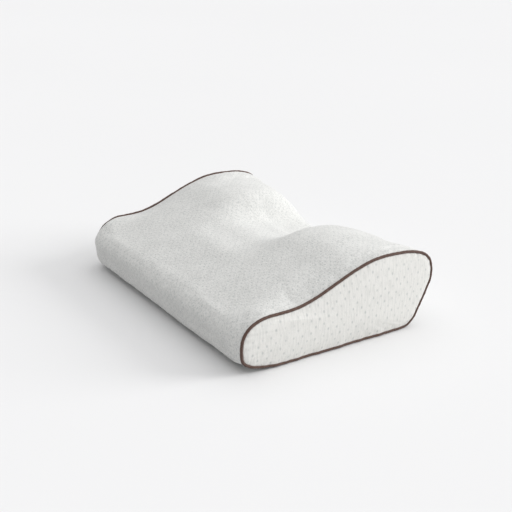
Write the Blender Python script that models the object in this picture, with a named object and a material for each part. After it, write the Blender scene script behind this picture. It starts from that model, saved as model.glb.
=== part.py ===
"""Contour bed pillow: a moulded foam core in a sewn liner, inside a zipped and piped cover.

Metres, +Z up. X runs from one end panel to the other, the low lobe faces -Y and the high
lobe +Y. The origin is on the floor under the middle of the pillow.

The outline is the seam line of an end panel. Every layer is a skin at its own depth below
the cover's face, and all skins share one grid of stations, so the layers stay nested.
"""

import math

import bmesh
import bpy
import numpy as np
from mathutils import Matrix

PILLOW = "contour_pillow"

# Overall sizes.
LENGTH = 0.435          # from one end seam to the other
WIDTH = 0.300           # across the seam line, front to back
HIGH_LOBE = 0.1124      # height of the seam line over the back lobe
LOW_LOBE = 0.0712       # height of the seam line over the front lobe

# How the stuffed cover swells between its seams.
CROWN = 0.0020          # swell of the wrap beyond the end seams
CROWN_RUN = 0.030       # distance from a seam over which it builds up
DOME = 0.006            # bulge of an end panel

# Outline, front half.
FRONT_LIFT = 0.027      # height of the curve under the front edge
FRONT_LIFT_REACH = 0.087
FRONT_LIFT_POWER = 2.8
FRONT_TOP_REACH = 0.045
FRONT_TOP_START = 0.036
FRONT_TOP_POWER = 2.3
RISE_START = -0.086     # where the top begins to climb to the high lobe
RISE_END = 0.070

# Outline, back half.
BACK_WIDEST = 0.0725    # height of the widest line of the back
BACK_TOP_POWER = 2.75
SLANT_TOP = 0.0565      # the flat that leans in below it, which carries the zip
SLANT_TOP_INSET = 0.0037
SLANT_FOOT = 0.022
SLANT_FOOT_INSET = 0.022
TOE_INSET = 0.046

# Saddle pressed into the middle of the high lobe.
SADDLE_DEPTH = 0.038
SADDLE_HALF_WIDTH = 0.070
SADDLE_POWER = 4.6
SADDLE_FADE_START = 0.052   # height below which the back stays straight
SADDLE_FADE_POWER = 1.3
SADDLE_FRONT = -0.060
SADDLE_BACK = 0.060
NOTCH_DEPTH = 0.042
NOTCH_FRONT = 0.040
WING_CROWN = 0.0030         # extra fullness of each wing
WING_CROWN_PLACE = 0.115
WING_CROWN_WIDTH = 0.045

# Fabrics and what lies between them.
WRAP_THICKNESS = 0.0014
PANEL_THICKNESS = 0.0014
LINER_THICKNESS = 0.0007
PLY_GAP = 0.0004        # between two layers of the pillow
FIT_GAP = 0.0003        # between two pieces that touch
SEAM_ALLOWANCE = 0.0050

# Piping.
PIPING_RADIUS = 0.0020
CORD_RADIUS = 0.0010
PIPING_PLY = 0.0004
PIPING_SLIT = 0.0002
PIPING_FLANGE_OUT = -0.0010     # place of the folded flange, from the seam plane

# Zip.
ZIP_LENGTH = 0.360
ZIP_SLOT_HALF = 0.0046
TAPE_WIDTH = 0.0120
TAPE_THICKNESS = 0.0005
TAPE_MIDDLE_GAP = 0.0006
COIL_INNER = 0.0005
COIL_WIDTH = 0.0027
COIL_HEIGHT = 0.0018
STOP_LENGTH = 0.0022
SLIDER_LENGTH = 0.0100
SLIDER_HALF_WIDTH = 0.0042
SLIDER_PLATE = 0.0010
SLIDER_FLANGE = 0.0004
BRIDGE_HALF_WIDTH = 0.0003
BRIDGE_LENGTH = 0.0016
BAIL_HALF_LENGTH = 0.0026
BAIL_HALF_WIDTH = 0.0009
BAIL_BAR = 0.0008
PIN_RADIUS = 0.0005
PIN_CLEARANCE = 0.0002
PULL_LENGTH = 0.0210
PULL_HALF_WIDTH = 0.0030
PULL_THICKNESS = 0.0008
PULL_EYE_HALF_LENGTH = 0.0042
ZIP_RELIEF = 0.0022     # how far the cover stands off the liner behind the zip

# Care label, sewn in beside the end of the zip.
LABEL_LENGTH = 0.013
LABEL_WIDTH = 0.018
LABEL_THICKNESS = 0.0003

WRAP_INNER = WRAP_THICKNESS
LINER_OUTER = WRAP_INNER + PLY_GAP
LINER_INNER = LINER_OUTER + LINER_THICKNESS
FOAM_OUTER = LINER_INNER + PLY_GAP

HALF_LENGTH = LENGTH / 2
HALF_WIDTH = WIDTH / 2
FLOOR_LINE = max(CROWN, PIPING_RADIUS)     # height of the seam line where piping and wrap lie on the floor

WRAP_EDGE = -(PIPING_RADIUS + FIT_GAP)
WRAP_TURNING = WRAP_EDGE - WRAP_THICKNESS
PANEL_INNER = PIPING_FLANGE_OUT + PIPING_PLY + PIPING_SLIT / 2 + FIT_GAP
LINER_END_OUTER = WRAP_TURNING - PLY_GAP
LINER_END_INNER = LINER_END_OUTER - LINER_THICKNESS
LINER_WRAP_EDGE = LINER_END_INNER - FIT_GAP
FOAM_END = LINER_END_INNER - PLY_GAP

COLOURS = {
    "foam": (0.93, 0.88, 0.72),
    "liner": (0.88, 0.88, 0.87),
    "wrap": (0.70, 0.72, 0.71),
    "panel": (0.86, 0.87, 0.85),
    "piping": (0.16, 0.10, 0.08),
    "cord": (0.80, 0.76, 0.68),
    "tape": (0.62, 0.63, 0.62),
    "coil": (0.55, 0.56, 0.56),
    "metal": (0.60, 0.60, 0.60),
    "label": (0.92, 0.92, 0.90),
}


def smoothstep(t):
    """Ease from 0 to 1 with level ends."""
    t = np.clip(t, 0.0, 1.0)
    return t * t * (3.0 - 2.0 * t)


def quarter(centre, reach, power, start, end, count):
    """Points on a superellipse quarter; angle 0 is beside the centre and 90 above or below."""
    angle = np.radians(np.linspace(start, end, count, endpoint=False))
    y = centre[0] + reach[0] * np.abs(np.cos(angle)) ** (2.0 / power)
    z = centre[1] + reach[1] * np.abs(np.sin(angle)) ** (2.0 / power)
    return np.stack([y, z], axis=1)


def bezier(a, b, c, d, count):
    """Points on a cubic Bezier curve, without its last point."""
    t = np.linspace(0.0, 1.0, count, endpoint=False)[:, None]
    a, b, c, d = (np.array(p) for p in (a, b, c, d))
    return (1 - t) ** 3 * a + 3 * t * (1 - t) ** 2 * b + 3 * t * t * (1 - t) * c + t ** 3 * d


def slant_ends():
    """Top and foot of the leaning flat of the back, and its upward direction."""
    top = np.array([HALF_WIDTH - SLANT_TOP_INSET, SLANT_TOP])
    foot = np.array([HALF_WIDTH - SLANT_FOOT_INSET, SLANT_FOOT])
    return top, foot, (top - foot) / np.linalg.norm(top - foot)


def outline():
    """Seam line of an end panel in Y and Z, and which of its stations lie behind the zip."""
    low, high = LOW_LOBE, HIGH_LOBE
    top, foot, up = slant_ends()
    toe = HALF_WIDTH - TOE_INSET
    lift_centre = (-HALF_WIDTH + FRONT_LIFT_REACH, FLOOR_LINE + FRONT_LIFT)
    front_centre = (-HALF_WIDTH + FRONT_TOP_REACH, FRONT_TOP_START)

    bottom_y = np.linspace(toe, lift_centre[0], 4, endpoint=False)
    bottom = np.stack([bottom_y, np.full(4, FLOOR_LINE)], axis=1)
    front_under = quarter(lift_centre, (-FRONT_LIFT_REACH, -FRONT_LIFT), FRONT_LIFT_POWER, 90, 0, 5)
    front_face = np.array([[-HALF_WIDTH, lift_centre[1]]])
    front_top = quarter(front_centre, (-FRONT_TOP_REACH, low - FRONT_TOP_START),
                        FRONT_TOP_POWER, 0, 90, 5)
    rise_y = np.linspace(front_centre[0], RISE_END, 9, endpoint=False)
    climb = np.clip((rise_y - RISE_START) / (RISE_END - RISE_START), 0.0, 1.0)
    rise = np.stack([rise_y, low + (high - low) * (1 - np.cos(np.pi * climb)) / 2], axis=1)
    back_top = quarter((RISE_END, BACK_WIDEST), (HALF_WIDTH - RISE_END, high - BACK_WIDEST),
                       BACK_TOP_POWER, 90, 0, 7)
    shoulder_pull = (BACK_WIDEST - SLANT_TOP) * 0.4
    widest = np.array([HALF_WIDTH, BACK_WIDEST])
    shoulder = bezier(widest, widest - (0, shoulder_pull), top + up * shoulder_pull, top, 2)
    shares = np.array([0.0, 0.1, 0.5, 0.9])[:, None]
    slant = top + (foot - top) * shares
    toe_pull = (SLANT_FOOT - FLOOR_LINE) * 0.6
    toe_curve = bezier(foot, foot - up * toe_pull, (toe + toe_pull, FLOOR_LINE),
                       (toe, FLOOR_LINE), 3)

    parts = [bottom, front_under, front_face, front_top, rise, back_top, shoulder, slant, toe_curve]
    line = np.concatenate(parts)
    first = len(line) - len(toe_curve) - len(slant)
    behind_zip = np.zeros(len(line), dtype=bool)
    behind_zip[first + 1:first + len(slant)] = True
    return line, behind_zip


def saddle(x, line):
    """The outline at a station along X, with the middle of the high lobe pressed down and in.

    The dip has a flat middle and steep flanks, and the back edge runs in one shallow arc
    from seam to seam. Both fade to nothing at the leaning flat that carries the zip.
    """
    y, z = line[:, 0], line[:, 1]
    dip = math.exp(-(abs(x) / SADDLE_HALF_WIDTH) ** SADDLE_POWER)
    notch = math.cos(math.pi * x / LENGTH) ** 2
    wing = math.exp(-((abs(x) - WING_CROWN_PLACE) / WING_CROWN_WIDTH) ** 2)
    height_share = np.clip((z - SADDLE_FADE_START) / (HIGH_LOBE - SADDLE_FADE_START), 0.0, 1.0)
    high_up = height_share ** SADDLE_FADE_POWER
    at_back = smoothstep((y - SADDLE_FRONT) / (SADDLE_BACK - SADDLE_FRONT))
    at_edge = smoothstep((y - NOTCH_FRONT) / (HALF_WIDTH - NOTCH_FRONT))
    new_y = y - NOTCH_DEPTH * notch * at_edge * high_up
    new_z = z - (SADDLE_DEPTH * dip - WING_CROWN * wing) * at_back * high_up
    return np.stack([new_y, new_z], axis=1)


def crown(x):
    """Swell of the cover at a distance along X: a quarter ellipse that ends at the seam."""
    share = np.clip((HALF_LENGTH - np.abs(x)) / CROWN_RUN, 0.0, 1.0)
    return CROWN * np.sqrt(1.0 - (1.0 - share) ** 2)


def stations(end_place):
    """Places along X for the rings of a skin whose ends lie end_place from the seam planes."""
    flank = SADDLE_HALF_WIDTH * np.array([0.0, 0.42, 0.75, 1.0, 1.28])
    rest = np.linspace(flank[-1], HALF_LENGTH - CROWN_RUN, 4)[1:]
    near_seam = HALF_LENGTH - CROWN_RUN * np.array([0.5, 0.25])
    half = np.concatenate([flank, rest, near_seam, [HALF_LENGTH + end_place]])
    return np.concatenate([-half[:0:-1], half])


def skin(xs, depth):
    """Rings of the surface that lies depth below the cover's face, as stations by outline by 3."""
    line, _ = outline()
    step = 1e-4
    here = np.array([saddle(x, line) for x in xs])
    ahead = np.array([saddle(x + step, line) for x in xs])
    along_x = np.zeros(here.shape[:2] + (3,))
    along_x[..., 0] = step
    along_x[..., 1:] = ahead - here
    around = np.zeros_like(along_x)
    around[..., 1:] = np.roll(here, -1, axis=1) - np.roll(here, 1, axis=1)
    normal = np.cross(along_x, around)
    normal /= np.linalg.norm(normal, axis=2, keepdims=True)
    points = np.zeros_like(along_x)
    points[..., 0] = np.array(xs)[:, None]
    points[..., 1:] = here
    lift = crown(np.array(xs))[:, None] - np.broadcast_to(depth, here.shape[1])[None, :]
    return points + normal * lift[..., None]


def seam_ring(side, out, inset):
    """The seam line moved inset into the outline and out along X from the seam plane."""
    line, _ = outline()
    tangent = np.roll(line, -1, axis=0) - np.roll(line, 1, axis=0)
    tangent /= np.linalg.norm(tangent, axis=1, keepdims=True)
    normal = np.stack([-tangent[:, 1], tangent[:, 0]], axis=1)
    ring = np.zeros((len(line), 3))
    ring[:, 0] = side * (HALF_LENGTH + out)
    ring[:, 1:] = line - normal * inset
    return ring


def material(kind, roughness=0.85, metallic=0.0):
    """The Principled material of one kind of piece."""
    found = bpy.data.materials.get(kind)
    if found:
        return found
    made = bpy.data.materials.new(kind)
    made.use_nodes = True
    shader = made.node_tree.nodes["Principled BSDF"]
    shader.inputs["Base Color"].default_value = (*COLOURS[kind], 1.0)
    shader.inputs["Roughness"].default_value = roughness
    shader.inputs["Metallic"].default_value = metallic
    made.diffuse_color = (*COLOURS[kind], 1.0)
    return made


def add_object(name, mesh, finish, collection):
    """An object for a mesh, with its material, in a collection."""
    made = bpy.data.objects.new(name, mesh)
    mesh.materials.append(finish)
    collection.objects.link(made)
    return made


def tidy_mesh(name, points, faces):
    """A mesh whose faces all point outwards."""
    mesh = bpy.data.meshes.new(name)
    mesh.from_pydata([tuple(p) for p in points], [], faces)
    bm = bmesh.new()
    bm.from_mesh(mesh)
    bmesh.ops.recalc_face_normals(bm, faces=bm.faces)
    bm.to_mesh(mesh)
    bm.free()
    return mesh


def ring_faces(rings, count, closed, turned=None):
    """Triangles between neighbouring rings of count points.

    Rings from turned on run back along X, so their diagonals cross the other way, and the
    inner face of one layer then folds just as the outer face of the next layer does.
    """
    faces = []
    last = rings if closed else rings - 1
    for i in range(last):
        a = i * count
        b = ((i + 1) % rings) * count
        if turned is not None and i >= turned:
            a, b = b, a
        for j in range(count):
            k = (j + 1) % count
            faces.append((a + j, a + k, b + k))
            faces.append((a + j, b + k, b + j))
    return faces


def loft_loop(name, rings, finish, collection, turned=None):
    """A solid swept through rings that come back to the first one."""
    count = len(rings[0])
    points = np.concatenate(rings)
    mesh = tidy_mesh(name, points, ring_faces(len(rings), count, True, turned))
    return add_object(name, mesh, finish, collection)


def loft_closed(name, rings, first_tip, last_tip, finish, collection):
    """A solid lofted through rings and closed by a fan to a tip at each end."""
    count = len(rings[0])
    points = np.concatenate(rings + [[first_tip], [last_tip]])
    faces = ring_faces(len(rings), count, False)
    first, last = len(points) - 2, len(points) - 1
    base = (len(rings) - 1) * count
    for j in range(count):
        k = (j + 1) % count
        faces.append((first, k, j))
        faces.append((last, base + j, base + k))
    return add_object(name, tidy_mesh(name, points, faces), finish, collection)


def dome_rings(side, out, inset, dome):
    """Rings of an end surface: level over the seam allowance, then domed up to its tip."""
    edge = seam_ring(side, out, inset)
    level = seam_ring(side, out, SEAM_ALLOWANCE + PIPING_RADIUS)
    centre = level.mean(axis=0)
    rings = [edge, level]
    for share in (0.72, 0.36):
        ring = centre + (level - centre) * share
        ring[:, 0] += side * dome * (1.0 - share ** 2)
        rings.append(ring)
    tip = centre + np.array([side * dome, 0.0, 0.0])
    return rings, tip


def end_plate(name, side, outer, inner, inset, outer_dome, inner_dome, finish, collection):
    """A domed fabric plate that closes an end."""
    front, front_tip = dome_rings(side, outer, inset, outer_dome)
    back, back_tip = dome_rings(side, inner, inset, inner_dome)
    return loft_closed(name, front[::-1] + back, front_tip, back_tip, finish, collection)


def add_foam(collection):
    """The moulded core, hollowed a little behind the zip."""
    line, behind_zip = outline()
    depth = np.where(behind_zip, FOAM_OUTER + ZIP_RELIEF, FOAM_OUTER)
    xs = stations(FOAM_END - PLY_GAP)
    rings = list(skin(xs, depth))
    ease = 0.002
    for side, index in ((-1, 0), (1, -1)):
        rings[index] = skin([side * (HALF_LENGTH + FOAM_END - PLY_GAP)], depth + ease)[0]
    dome = DOME + PANEL_INNER - PLY_GAP - LINER_END_OUTER
    left, left_tip = dome_rings(-1, FOAM_END - PLY_GAP, SEAM_ALLOWANCE, dome)
    right, right_tip = dome_rings(1, FOAM_END - PLY_GAP, SEAM_ALLOWANCE, dome)
    rings = left[:0:-1] + rings + right[1:]
    return loft_closed("foam_core", rings, left_tip, right_tip, material("foam"), collection)


def add_liner(collection):
    """The sewn inner liner: a tube round the foam and a plate over each end."""
    _, behind_zip = outline()
    relief = np.where(behind_zip, ZIP_RELIEF, 0.0)
    xs = stations(LINER_WRAP_EDGE)
    outer = list(skin(xs, LINER_OUTER + relief))
    inner = list(skin(xs, LINER_INNER + relief))
    finish = material("liner")
    loft_loop("liner_wrap", outer + inner[::-1], finish, collection, len(outer))
    dome = DOME + PANEL_INNER - PLY_GAP - LINER_END_OUTER
    edge_inset = LINER_OUTER - float(crown(HALF_LENGTH + LINER_END_OUTER)) + PLY_GAP
    for side, word in ((-1, "left"), (1, "right")):
        end_plate("liner_end_" + word, side, LINER_END_OUTER, LINER_END_INNER, edge_inset,
                  dome, dome, finish, collection)


def add_wrap(collection, cutters):
    """The cover's long panel: round the pillow, turned in at both end seams, slotted for the zip."""
    xs = stations(WRAP_EDGE)
    outer = list(skin(xs, 0.0))
    inner = list(skin(xs[1:-1], WRAP_INNER))
    tip = SEAM_ALLOWANCE
    corner = WRAP_THICKNESS - float(crown(HALF_LENGTH + WRAP_TURNING))

    def turning(side):
        """Rings of a seam allowance, from the outer edge round its tip to the inner corner."""
        return [seam_ring(side, WRAP_EDGE, tip), seam_ring(side, WRAP_TURNING, tip),
                seam_ring(side, WRAP_TURNING, corner)]

    rings = outer + turning(1) + inner[::-1] + turning(-1)[::-1]
    wrap = loft_loop("cover_wrap", rings, material("wrap"), collection, len(outer))
    frame = zip_frame()
    slot = add_box("zip_slot", (-ZIP_LENGTH / 2, ZIP_LENGTH / 2), (-ZIP_SLOT_HALF, ZIP_SLOT_HALF),
                   (-WRAP_THICKNESS * 1.5, WRAP_THICKNESS), frame, None, cutters)
    slot.hide_render = True
    slot.display_type = "WIRE"
    cut = wrap.modifiers.new("zip slot", "BOOLEAN")
    cut.operation = "DIFFERENCE"
    cut.object = slot
    return wrap


def add_end_panels(collection):
    """The cover's end panels, inside the piping."""
    for side, word in ((-1, "left"), (1, "right")):
        end_plate("end_panel_" + word, side, PANEL_INNER + PANEL_THICKNESS, PANEL_INNER,
                  PIPING_RADIUS + FIT_GAP, DOME, DOME, material("panel"), collection)


def add_piping(collection):
    """Piping in each end seam: a bias strip folded round a cord, its two plies in the seam."""
    bore = CORD_RADIUS + FIT_GAP
    lean = math.atan2(-PIPING_RADIUS, PIPING_FLANGE_OUT)
    outer_ply = PIPING_SLIT / 2 + PIPING_PLY
    inner_ply = PIPING_SLIT / 2
    flange_tip = SEAM_ALLOWANCE - FIT_GAP
    turn = math.asin(outer_ply / PIPING_RADIUS) + 0.05
    inner_turn = math.asin(inner_ply / bore) + 0.05
    round_outside = np.linspace(lean + turn, lean + 2 * math.pi - turn, 9)
    round_inside = np.linspace(lean + 2 * math.pi - inner_turn, lean + inner_turn, 6)
    section = [(PIPING_FLANGE_OUT + outer_ply, -flange_tip)]
    section += [(PIPING_RADIUS * math.cos(a), PIPING_RADIUS * math.sin(a)) for a in round_outside]
    section += [(PIPING_FLANGE_OUT - outer_ply, -flange_tip),
                (PIPING_FLANGE_OUT - inner_ply, -flange_tip)]
    section += [(bore * math.cos(a), bore * math.sin(a)) for a in round_inside]
    section += [(PIPING_FLANGE_OUT + inner_ply, -flange_tip)]
    cord = [(CORD_RADIUS * math.cos(a), CORD_RADIUS * math.sin(a))
            for a in np.linspace(0.0, 2 * math.pi, 6, endpoint=False)]
    for side, word in ((-1, "left"), (1, "right")):
        rings = [seam_ring(side, out, -up) for out, up in section]
        loft_loop("piping_" + word, rings, material("piping"), collection)
        rings = [seam_ring(side, out, -up) for out, up in cord]
        loft_loop("piping_cord_" + word, rings, material("cord"), collection)


def zip_frame():
    """Matrix of the zip: X along it, Y down the back, Z out of the cover's face."""
    top, foot, up = slant_ends()
    out = np.array([up[1], -up[0]])
    middle = (top + foot) / 2 + out * CROWN
    return Matrix(((1, 0, 0, 0), (0, -up[0], out[0], middle[0]),
                   (0, -up[1], out[1], middle[1]), (0, 0, 0, 1)))


def add_box(name, along, up, out, frame, finish, collection):
    """A box between limits in a frame; its mesh is built at the origin of that frame."""
    low = np.array([along[0], up[0], out[0]])
    high = np.array([along[1], up[1], out[1]])
    bm = bmesh.new()
    bmesh.ops.create_cube(bm, size=1.0)
    bmesh.ops.scale(bm, vec=high - low, verts=bm.verts)
    bmesh.ops.translate(bm, vec=(low + high) / 2, verts=bm.verts)
    mesh = bpy.data.meshes.new(name)
    bm.to_mesh(mesh)
    bm.free()
    made = bpy.data.objects.new(name, mesh)
    if finish:
        mesh.materials.append(finish)
    made.matrix_world = frame
    collection.objects.link(made)
    return made


def join_solids(name, pieces, finish, collection):
    """Several overlapping boxes made one solid by Boolean unions."""
    base = pieces[0]
    base.name = name
    for piece in pieces[1:]:
        join = base.modifiers.new("join", "BOOLEAN")
        join.operation = "UNION"
        join.object = piece
    depsgraph = bpy.context.evaluated_depsgraph_get()
    depsgraph.update()
    mesh = bpy.data.meshes.new_from_object(base.evaluated_get(depsgraph))
    mesh.name = name
    mesh.materials.clear()
    place = base.matrix_world.copy()
    for piece in pieces:
        bpy.data.objects.remove(piece)
    made = add_object(name, mesh, finish, collection)
    made.matrix_world = place
    return made


def tape_depths():
    """Out-of-face places of the tape's two faces."""
    top = -WRAP_THICKNESS - FIT_GAP
    return top - TAPE_THICKNESS, top


def add_tapes_and_coils(collection, frame):
    """Two woven tapes behind the slot, each with a coil along its edge."""
    tape_low, tape_high = tape_depths()
    half = ZIP_LENGTH / 2
    coil_low = tape_high + FIT_GAP
    coil_half = half - STOP_LENGTH - 2 * FIT_GAP
    for sign, word in ((-1, "upper"), (1, "lower")):
        across = sorted((sign * TAPE_MIDDLE_GAP, sign * (TAPE_MIDDLE_GAP + TAPE_WIDTH)))
        add_box("zip_tape_" + word, (-half - 0.006, half + 0.006), across, (tape_low, tape_high),
                frame, material("tape"), collection)
        across = sorted((sign * COIL_INNER, sign * (COIL_INNER + COIL_WIDTH)))
        add_box("zip_coil_" + word, (-coil_half, coil_half), across,
                (coil_low, coil_low + COIL_HEIGHT), frame, material("coil"), collection)


def add_stops(collection, frame):
    """A stop on each tape at the closed end, and one across both tapes at the open end."""
    _, tape_high = tape_depths()
    low = tape_high + FIT_GAP
    high = low + COIL_HEIGHT
    end = ZIP_LENGTH / 2 - FIT_GAP
    wide = COIL_INNER + COIL_WIDTH
    metal = material("metal", 0.35, 1.0)
    closed = (-end, -end + STOP_LENGTH)
    add_box("zip_top_stop_upper", closed, (-wide, -COIL_INNER), (low, high), frame, metal, collection)
    add_box("zip_top_stop_lower", closed, (COIL_INNER, wide), (low, high), frame, metal, collection)
    add_box("zip_bottom_stop", (end - STOP_LENGTH, end), (-wide, wide), (low, high), frame, metal,
            collection)


def slider_place():
    """Distance along the zip of the slider's middle when the zip is closed."""
    return -ZIP_LENGTH / 2 + STOP_LENGTH + 3 * FIT_GAP + SLIDER_LENGTH / 2


def pull_axis_height():
    """Height of the pull's pin above the cover's face."""
    _, tape_high = tape_depths()
    plate_low = tape_high + FIT_GAP + COIL_HEIGHT + FIT_GAP
    return plate_low + SLIDER_PLATE + PIN_CLEARANCE + PIN_RADIUS


def add_slider(collection, frame):
    """The slider: two plates joined by a bridge, flanges beside the coils, a bail on top."""
    tape_low, tape_high = tape_depths()
    half = SLIDER_LENGTH / 2
    plate_low = tape_high + FIT_GAP + COIL_HEIGHT + FIT_GAP
    plate_high = plate_low + SLIDER_PLATE
    under_high = tape_low - FIT_GAP
    under_low = under_high - SLIDER_PLATE
    bite = SLIDER_PLATE / 2
    bail_low = plate_high + 2 * (PIN_CLEARANCE + PIN_RADIUS)
    bail_high = bail_low + BAIL_BAR
    place = frame @ Matrix.Translation((slider_place(), 0.0, 0.0))
    wide = (-SLIDER_HALF_WIDTH, SLIDER_HALF_WIDTH)
    bridge = (-BRIDGE_HALF_WIDTH, BRIDGE_HALF_WIDTH)
    bail = (-BAIL_HALF_WIDTH, BAIL_HALF_WIDTH)
    post = BAIL_BAR
    flange_low = plate_low - COIL_HEIGHT * 0.8
    limits = [((-half, half), wide, (plate_low, plate_high)),
              ((-half, half), wide, (under_low, under_high)),
              ((-half + 0.0006, -half + 0.0006 + BRIDGE_LENGTH), bridge,
               (under_high - bite, plate_low + bite)),
              ((-half, half), (wide[1] - SLIDER_FLANGE, wide[1]), (flange_low, plate_low + bite)),
              ((-half, half), (wide[0], wide[0] + SLIDER_FLANGE), (flange_low, plate_low + bite)),
              ((-BAIL_HALF_LENGTH, -BAIL_HALF_LENGTH + post), bail, (plate_high - bite, bail_high)),
              ((BAIL_HALF_LENGTH - post, BAIL_HALF_LENGTH), bail, (plate_high - bite, bail_high)),
              ((-BAIL_HALF_LENGTH, BAIL_HALF_LENGTH), bail, (bail_low, bail_high))]
    blocks = [add_box("block_%d" % i, *limit, place, None, collection)
              for i, limit in enumerate(limits)]
    return join_solids("zip_slider", blocks, material("metal", 0.35, 1.0), collection)


def add_pull(collection, frame):
    """The pull: a pin through the bail, two arms and a tab, with its origin on the pin's axis."""
    height = pull_axis_height()
    place = frame @ Matrix.Translation((slider_place(), 0.0, height))
    half_thick = PULL_THICKNESS / 2
    arm_in = BAIL_HALF_WIDTH + 2 * PIN_CLEARANCE
    lie = (-half_thick, half_thick)
    limits = [((-PIN_RADIUS, PIN_RADIUS), (-PULL_HALF_WIDTH, PULL_HALF_WIDTH), lie),
              ((-PIN_RADIUS, PULL_EYE_HALF_LENGTH), (arm_in, PULL_HALF_WIDTH), lie),
              ((-PIN_RADIUS, PULL_EYE_HALF_LENGTH), (-PULL_HALF_WIDTH, -arm_in), lie),
              ((PULL_EYE_HALF_LENGTH - 0.0005, PULL_LENGTH), (-PULL_HALF_WIDTH, PULL_HALF_WIDTH), lie)]
    blocks = [add_box("block_%d" % i, *limit, place, None, collection)
              for i, limit in enumerate(limits)]
    return join_solids("zip_pull", blocks, material("metal", 0.35, 1.0), collection)


def add_label(collection, frame):
    """A blank care label lying between cover and liner, past the open end of the zip."""
    start = ZIP_LENGTH / 2 + 0.008
    high = -LINER_OUTER - ZIP_RELIEF + PLY_GAP + LABEL_THICKNESS
    return add_box("care_label", (start, start + LABEL_LENGTH), (-LABEL_WIDTH / 2, LABEL_WIDTH / 2),
                   (high - LABEL_THICKNESS, high), frame, material("label"), collection)


def main():
    """Clear the scene and build every piece."""
    for thing in list(bpy.data.objects):
        bpy.data.objects.remove(thing)
    collection = bpy.data.collections.new(PILLOW)
    cutters = bpy.data.collections.new("cutters")
    bpy.context.scene.collection.children.link(collection)
    bpy.context.scene.collection.children.link(cutters)
    frame = zip_frame()
    add_foam(collection)
    add_liner(collection)
    add_wrap(collection, cutters)
    add_end_panels(collection)
    add_piping(collection)
    add_tapes_and_coils(collection, frame)
    add_stops(collection, frame)
    add_slider(collection, frame)
    add_pull(collection, frame)
    add_label(collection, frame)


main()
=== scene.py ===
"""Contour bed pillow in a knitted, piped and zipped cover.

Metres, +Z up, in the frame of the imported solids: X runs from one end panel to the other, the
low lobe faces -Y and the high lobe +Y. Every soft piece is a function of two parameters: x,
the place along the pillow, and s, the distance round the seam line of an end panel, which
starts at the middle of the zip, runs down to the floor, under the pillow to the front, and
back over the top.
"""

import logging
import math
from dataclasses import dataclass, field
from enum import Enum

import bmesh
import bpy
import numpy as np
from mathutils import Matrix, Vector


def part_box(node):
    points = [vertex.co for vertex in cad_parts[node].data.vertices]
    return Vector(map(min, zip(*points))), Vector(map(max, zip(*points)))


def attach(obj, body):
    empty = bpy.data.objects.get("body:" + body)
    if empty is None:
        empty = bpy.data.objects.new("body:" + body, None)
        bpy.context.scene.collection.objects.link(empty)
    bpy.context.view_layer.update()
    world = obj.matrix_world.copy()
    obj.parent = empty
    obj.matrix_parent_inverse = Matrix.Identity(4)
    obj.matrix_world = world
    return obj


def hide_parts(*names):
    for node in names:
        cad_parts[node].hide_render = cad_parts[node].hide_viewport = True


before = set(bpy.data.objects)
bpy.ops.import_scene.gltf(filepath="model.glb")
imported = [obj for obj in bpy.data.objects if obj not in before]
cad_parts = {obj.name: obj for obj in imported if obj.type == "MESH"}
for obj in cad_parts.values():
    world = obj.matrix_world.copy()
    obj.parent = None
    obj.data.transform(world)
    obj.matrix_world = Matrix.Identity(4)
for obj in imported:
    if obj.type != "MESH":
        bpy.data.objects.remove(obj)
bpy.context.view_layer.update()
LOG = logging.getLogger("pillow")

Array = np.ndarray
Pair = tuple[float, float]
Material = bpy.types.Material
Socket = bpy.types.NodeSocket

PIPING_RADIUS = 0.0020
PIPING_INSET = 0.0023       # from the seam line to the solid end panel's edge
PANEL_RISE = 0.0012         # height of the end panel's face over the seam plane, at its edge
PANEL_DOME = 0.0060
SWELL = 0.0020              # how far the stuffed wrap stands beyond the seam line
WRAP_THICKNESS = 0.0014
SLOT_HALF = 0.0046          # half the height of the wrap's opening over the zip
FABRIC = "fabric"           # the UV map of each cloth piece, in metres
ZIP_SIDES = ((-1, "upper"), (1, "lower"))
TURN = 2 * np.pi


class Side(Enum):
    """The two ends of the pillow, with the sign of X there."""

    LEFT = -1
    RIGHT = 1

    @property
    def word(self) -> str:
        """The side's word in piece names."""
        return self.name.lower()


def ramp(value: Array, start: float, end: float) -> Array:
    """Ease from 0 at start to 1 at end, level at both: 3t squared less 2t cubed."""
    t = np.clip((value - start) / (end - start), 0.0, 1.0)
    return t * t * (3.0 - 2.0 * t)


def bell(value: Array, middle: float, width: float, power: float = 2.0) -> Array:
    """A bell curve: exp(-(distance from the middle / width) ** power)."""
    return np.exp(-(np.abs(value - middle) / width) ** power)


def waves(turn: Array, *terms: tuple[float, float, float]) -> Array:
    """A sum of sines, each given as its size, its waves in a turn and its phase."""
    return sum(size * np.sin(count * turn + phase) for size, count, phase in terms)


def blunt(value: Array, power: float) -> Array:
    """Values with their size raised to a power and their sign kept."""
    return np.sign(value) * np.abs(value) ** power


def unit(vectors: Array) -> Array:
    """Vectors brought to length 1."""
    return vectors / np.linalg.norm(vectors, axis=-1, keepdims=True)


def circle(angle: Array) -> Array:
    """Points of the unit circle."""
    return np.stack([np.cos(angle), np.sin(angle)], axis=-1)


def straight(start: Array | float, end: Array | float, count: int) -> Array:
    """Evenly spaced values or points from start towards end, without end."""
    return np.linspace(start, end, count, endpoint=False)


def quarter(centre: Pair, reach: Pair, power: float, start: float, end: float,
            count: int) -> Array:
    """A superellipse quarter: centre + reach times cos and sin, each to the power 2 / power."""
    angle = np.radians(straight(start, end, count))
    return blunt(circle(angle), 2.0 / power) * reach + centre


def bezier(a: Array, b: Array, c: Array, d: Array, count: int) -> Array:
    """A cubic Bezier curve through four control points, without its last point."""
    t = straight(0.0, 1.0, count)[:, None]
    return (1 - t) ** 3 * a + 3 * t * (1 - t) ** 2 * b + 3 * t * t * (1 - t) * c + t ** 3 * d


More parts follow.
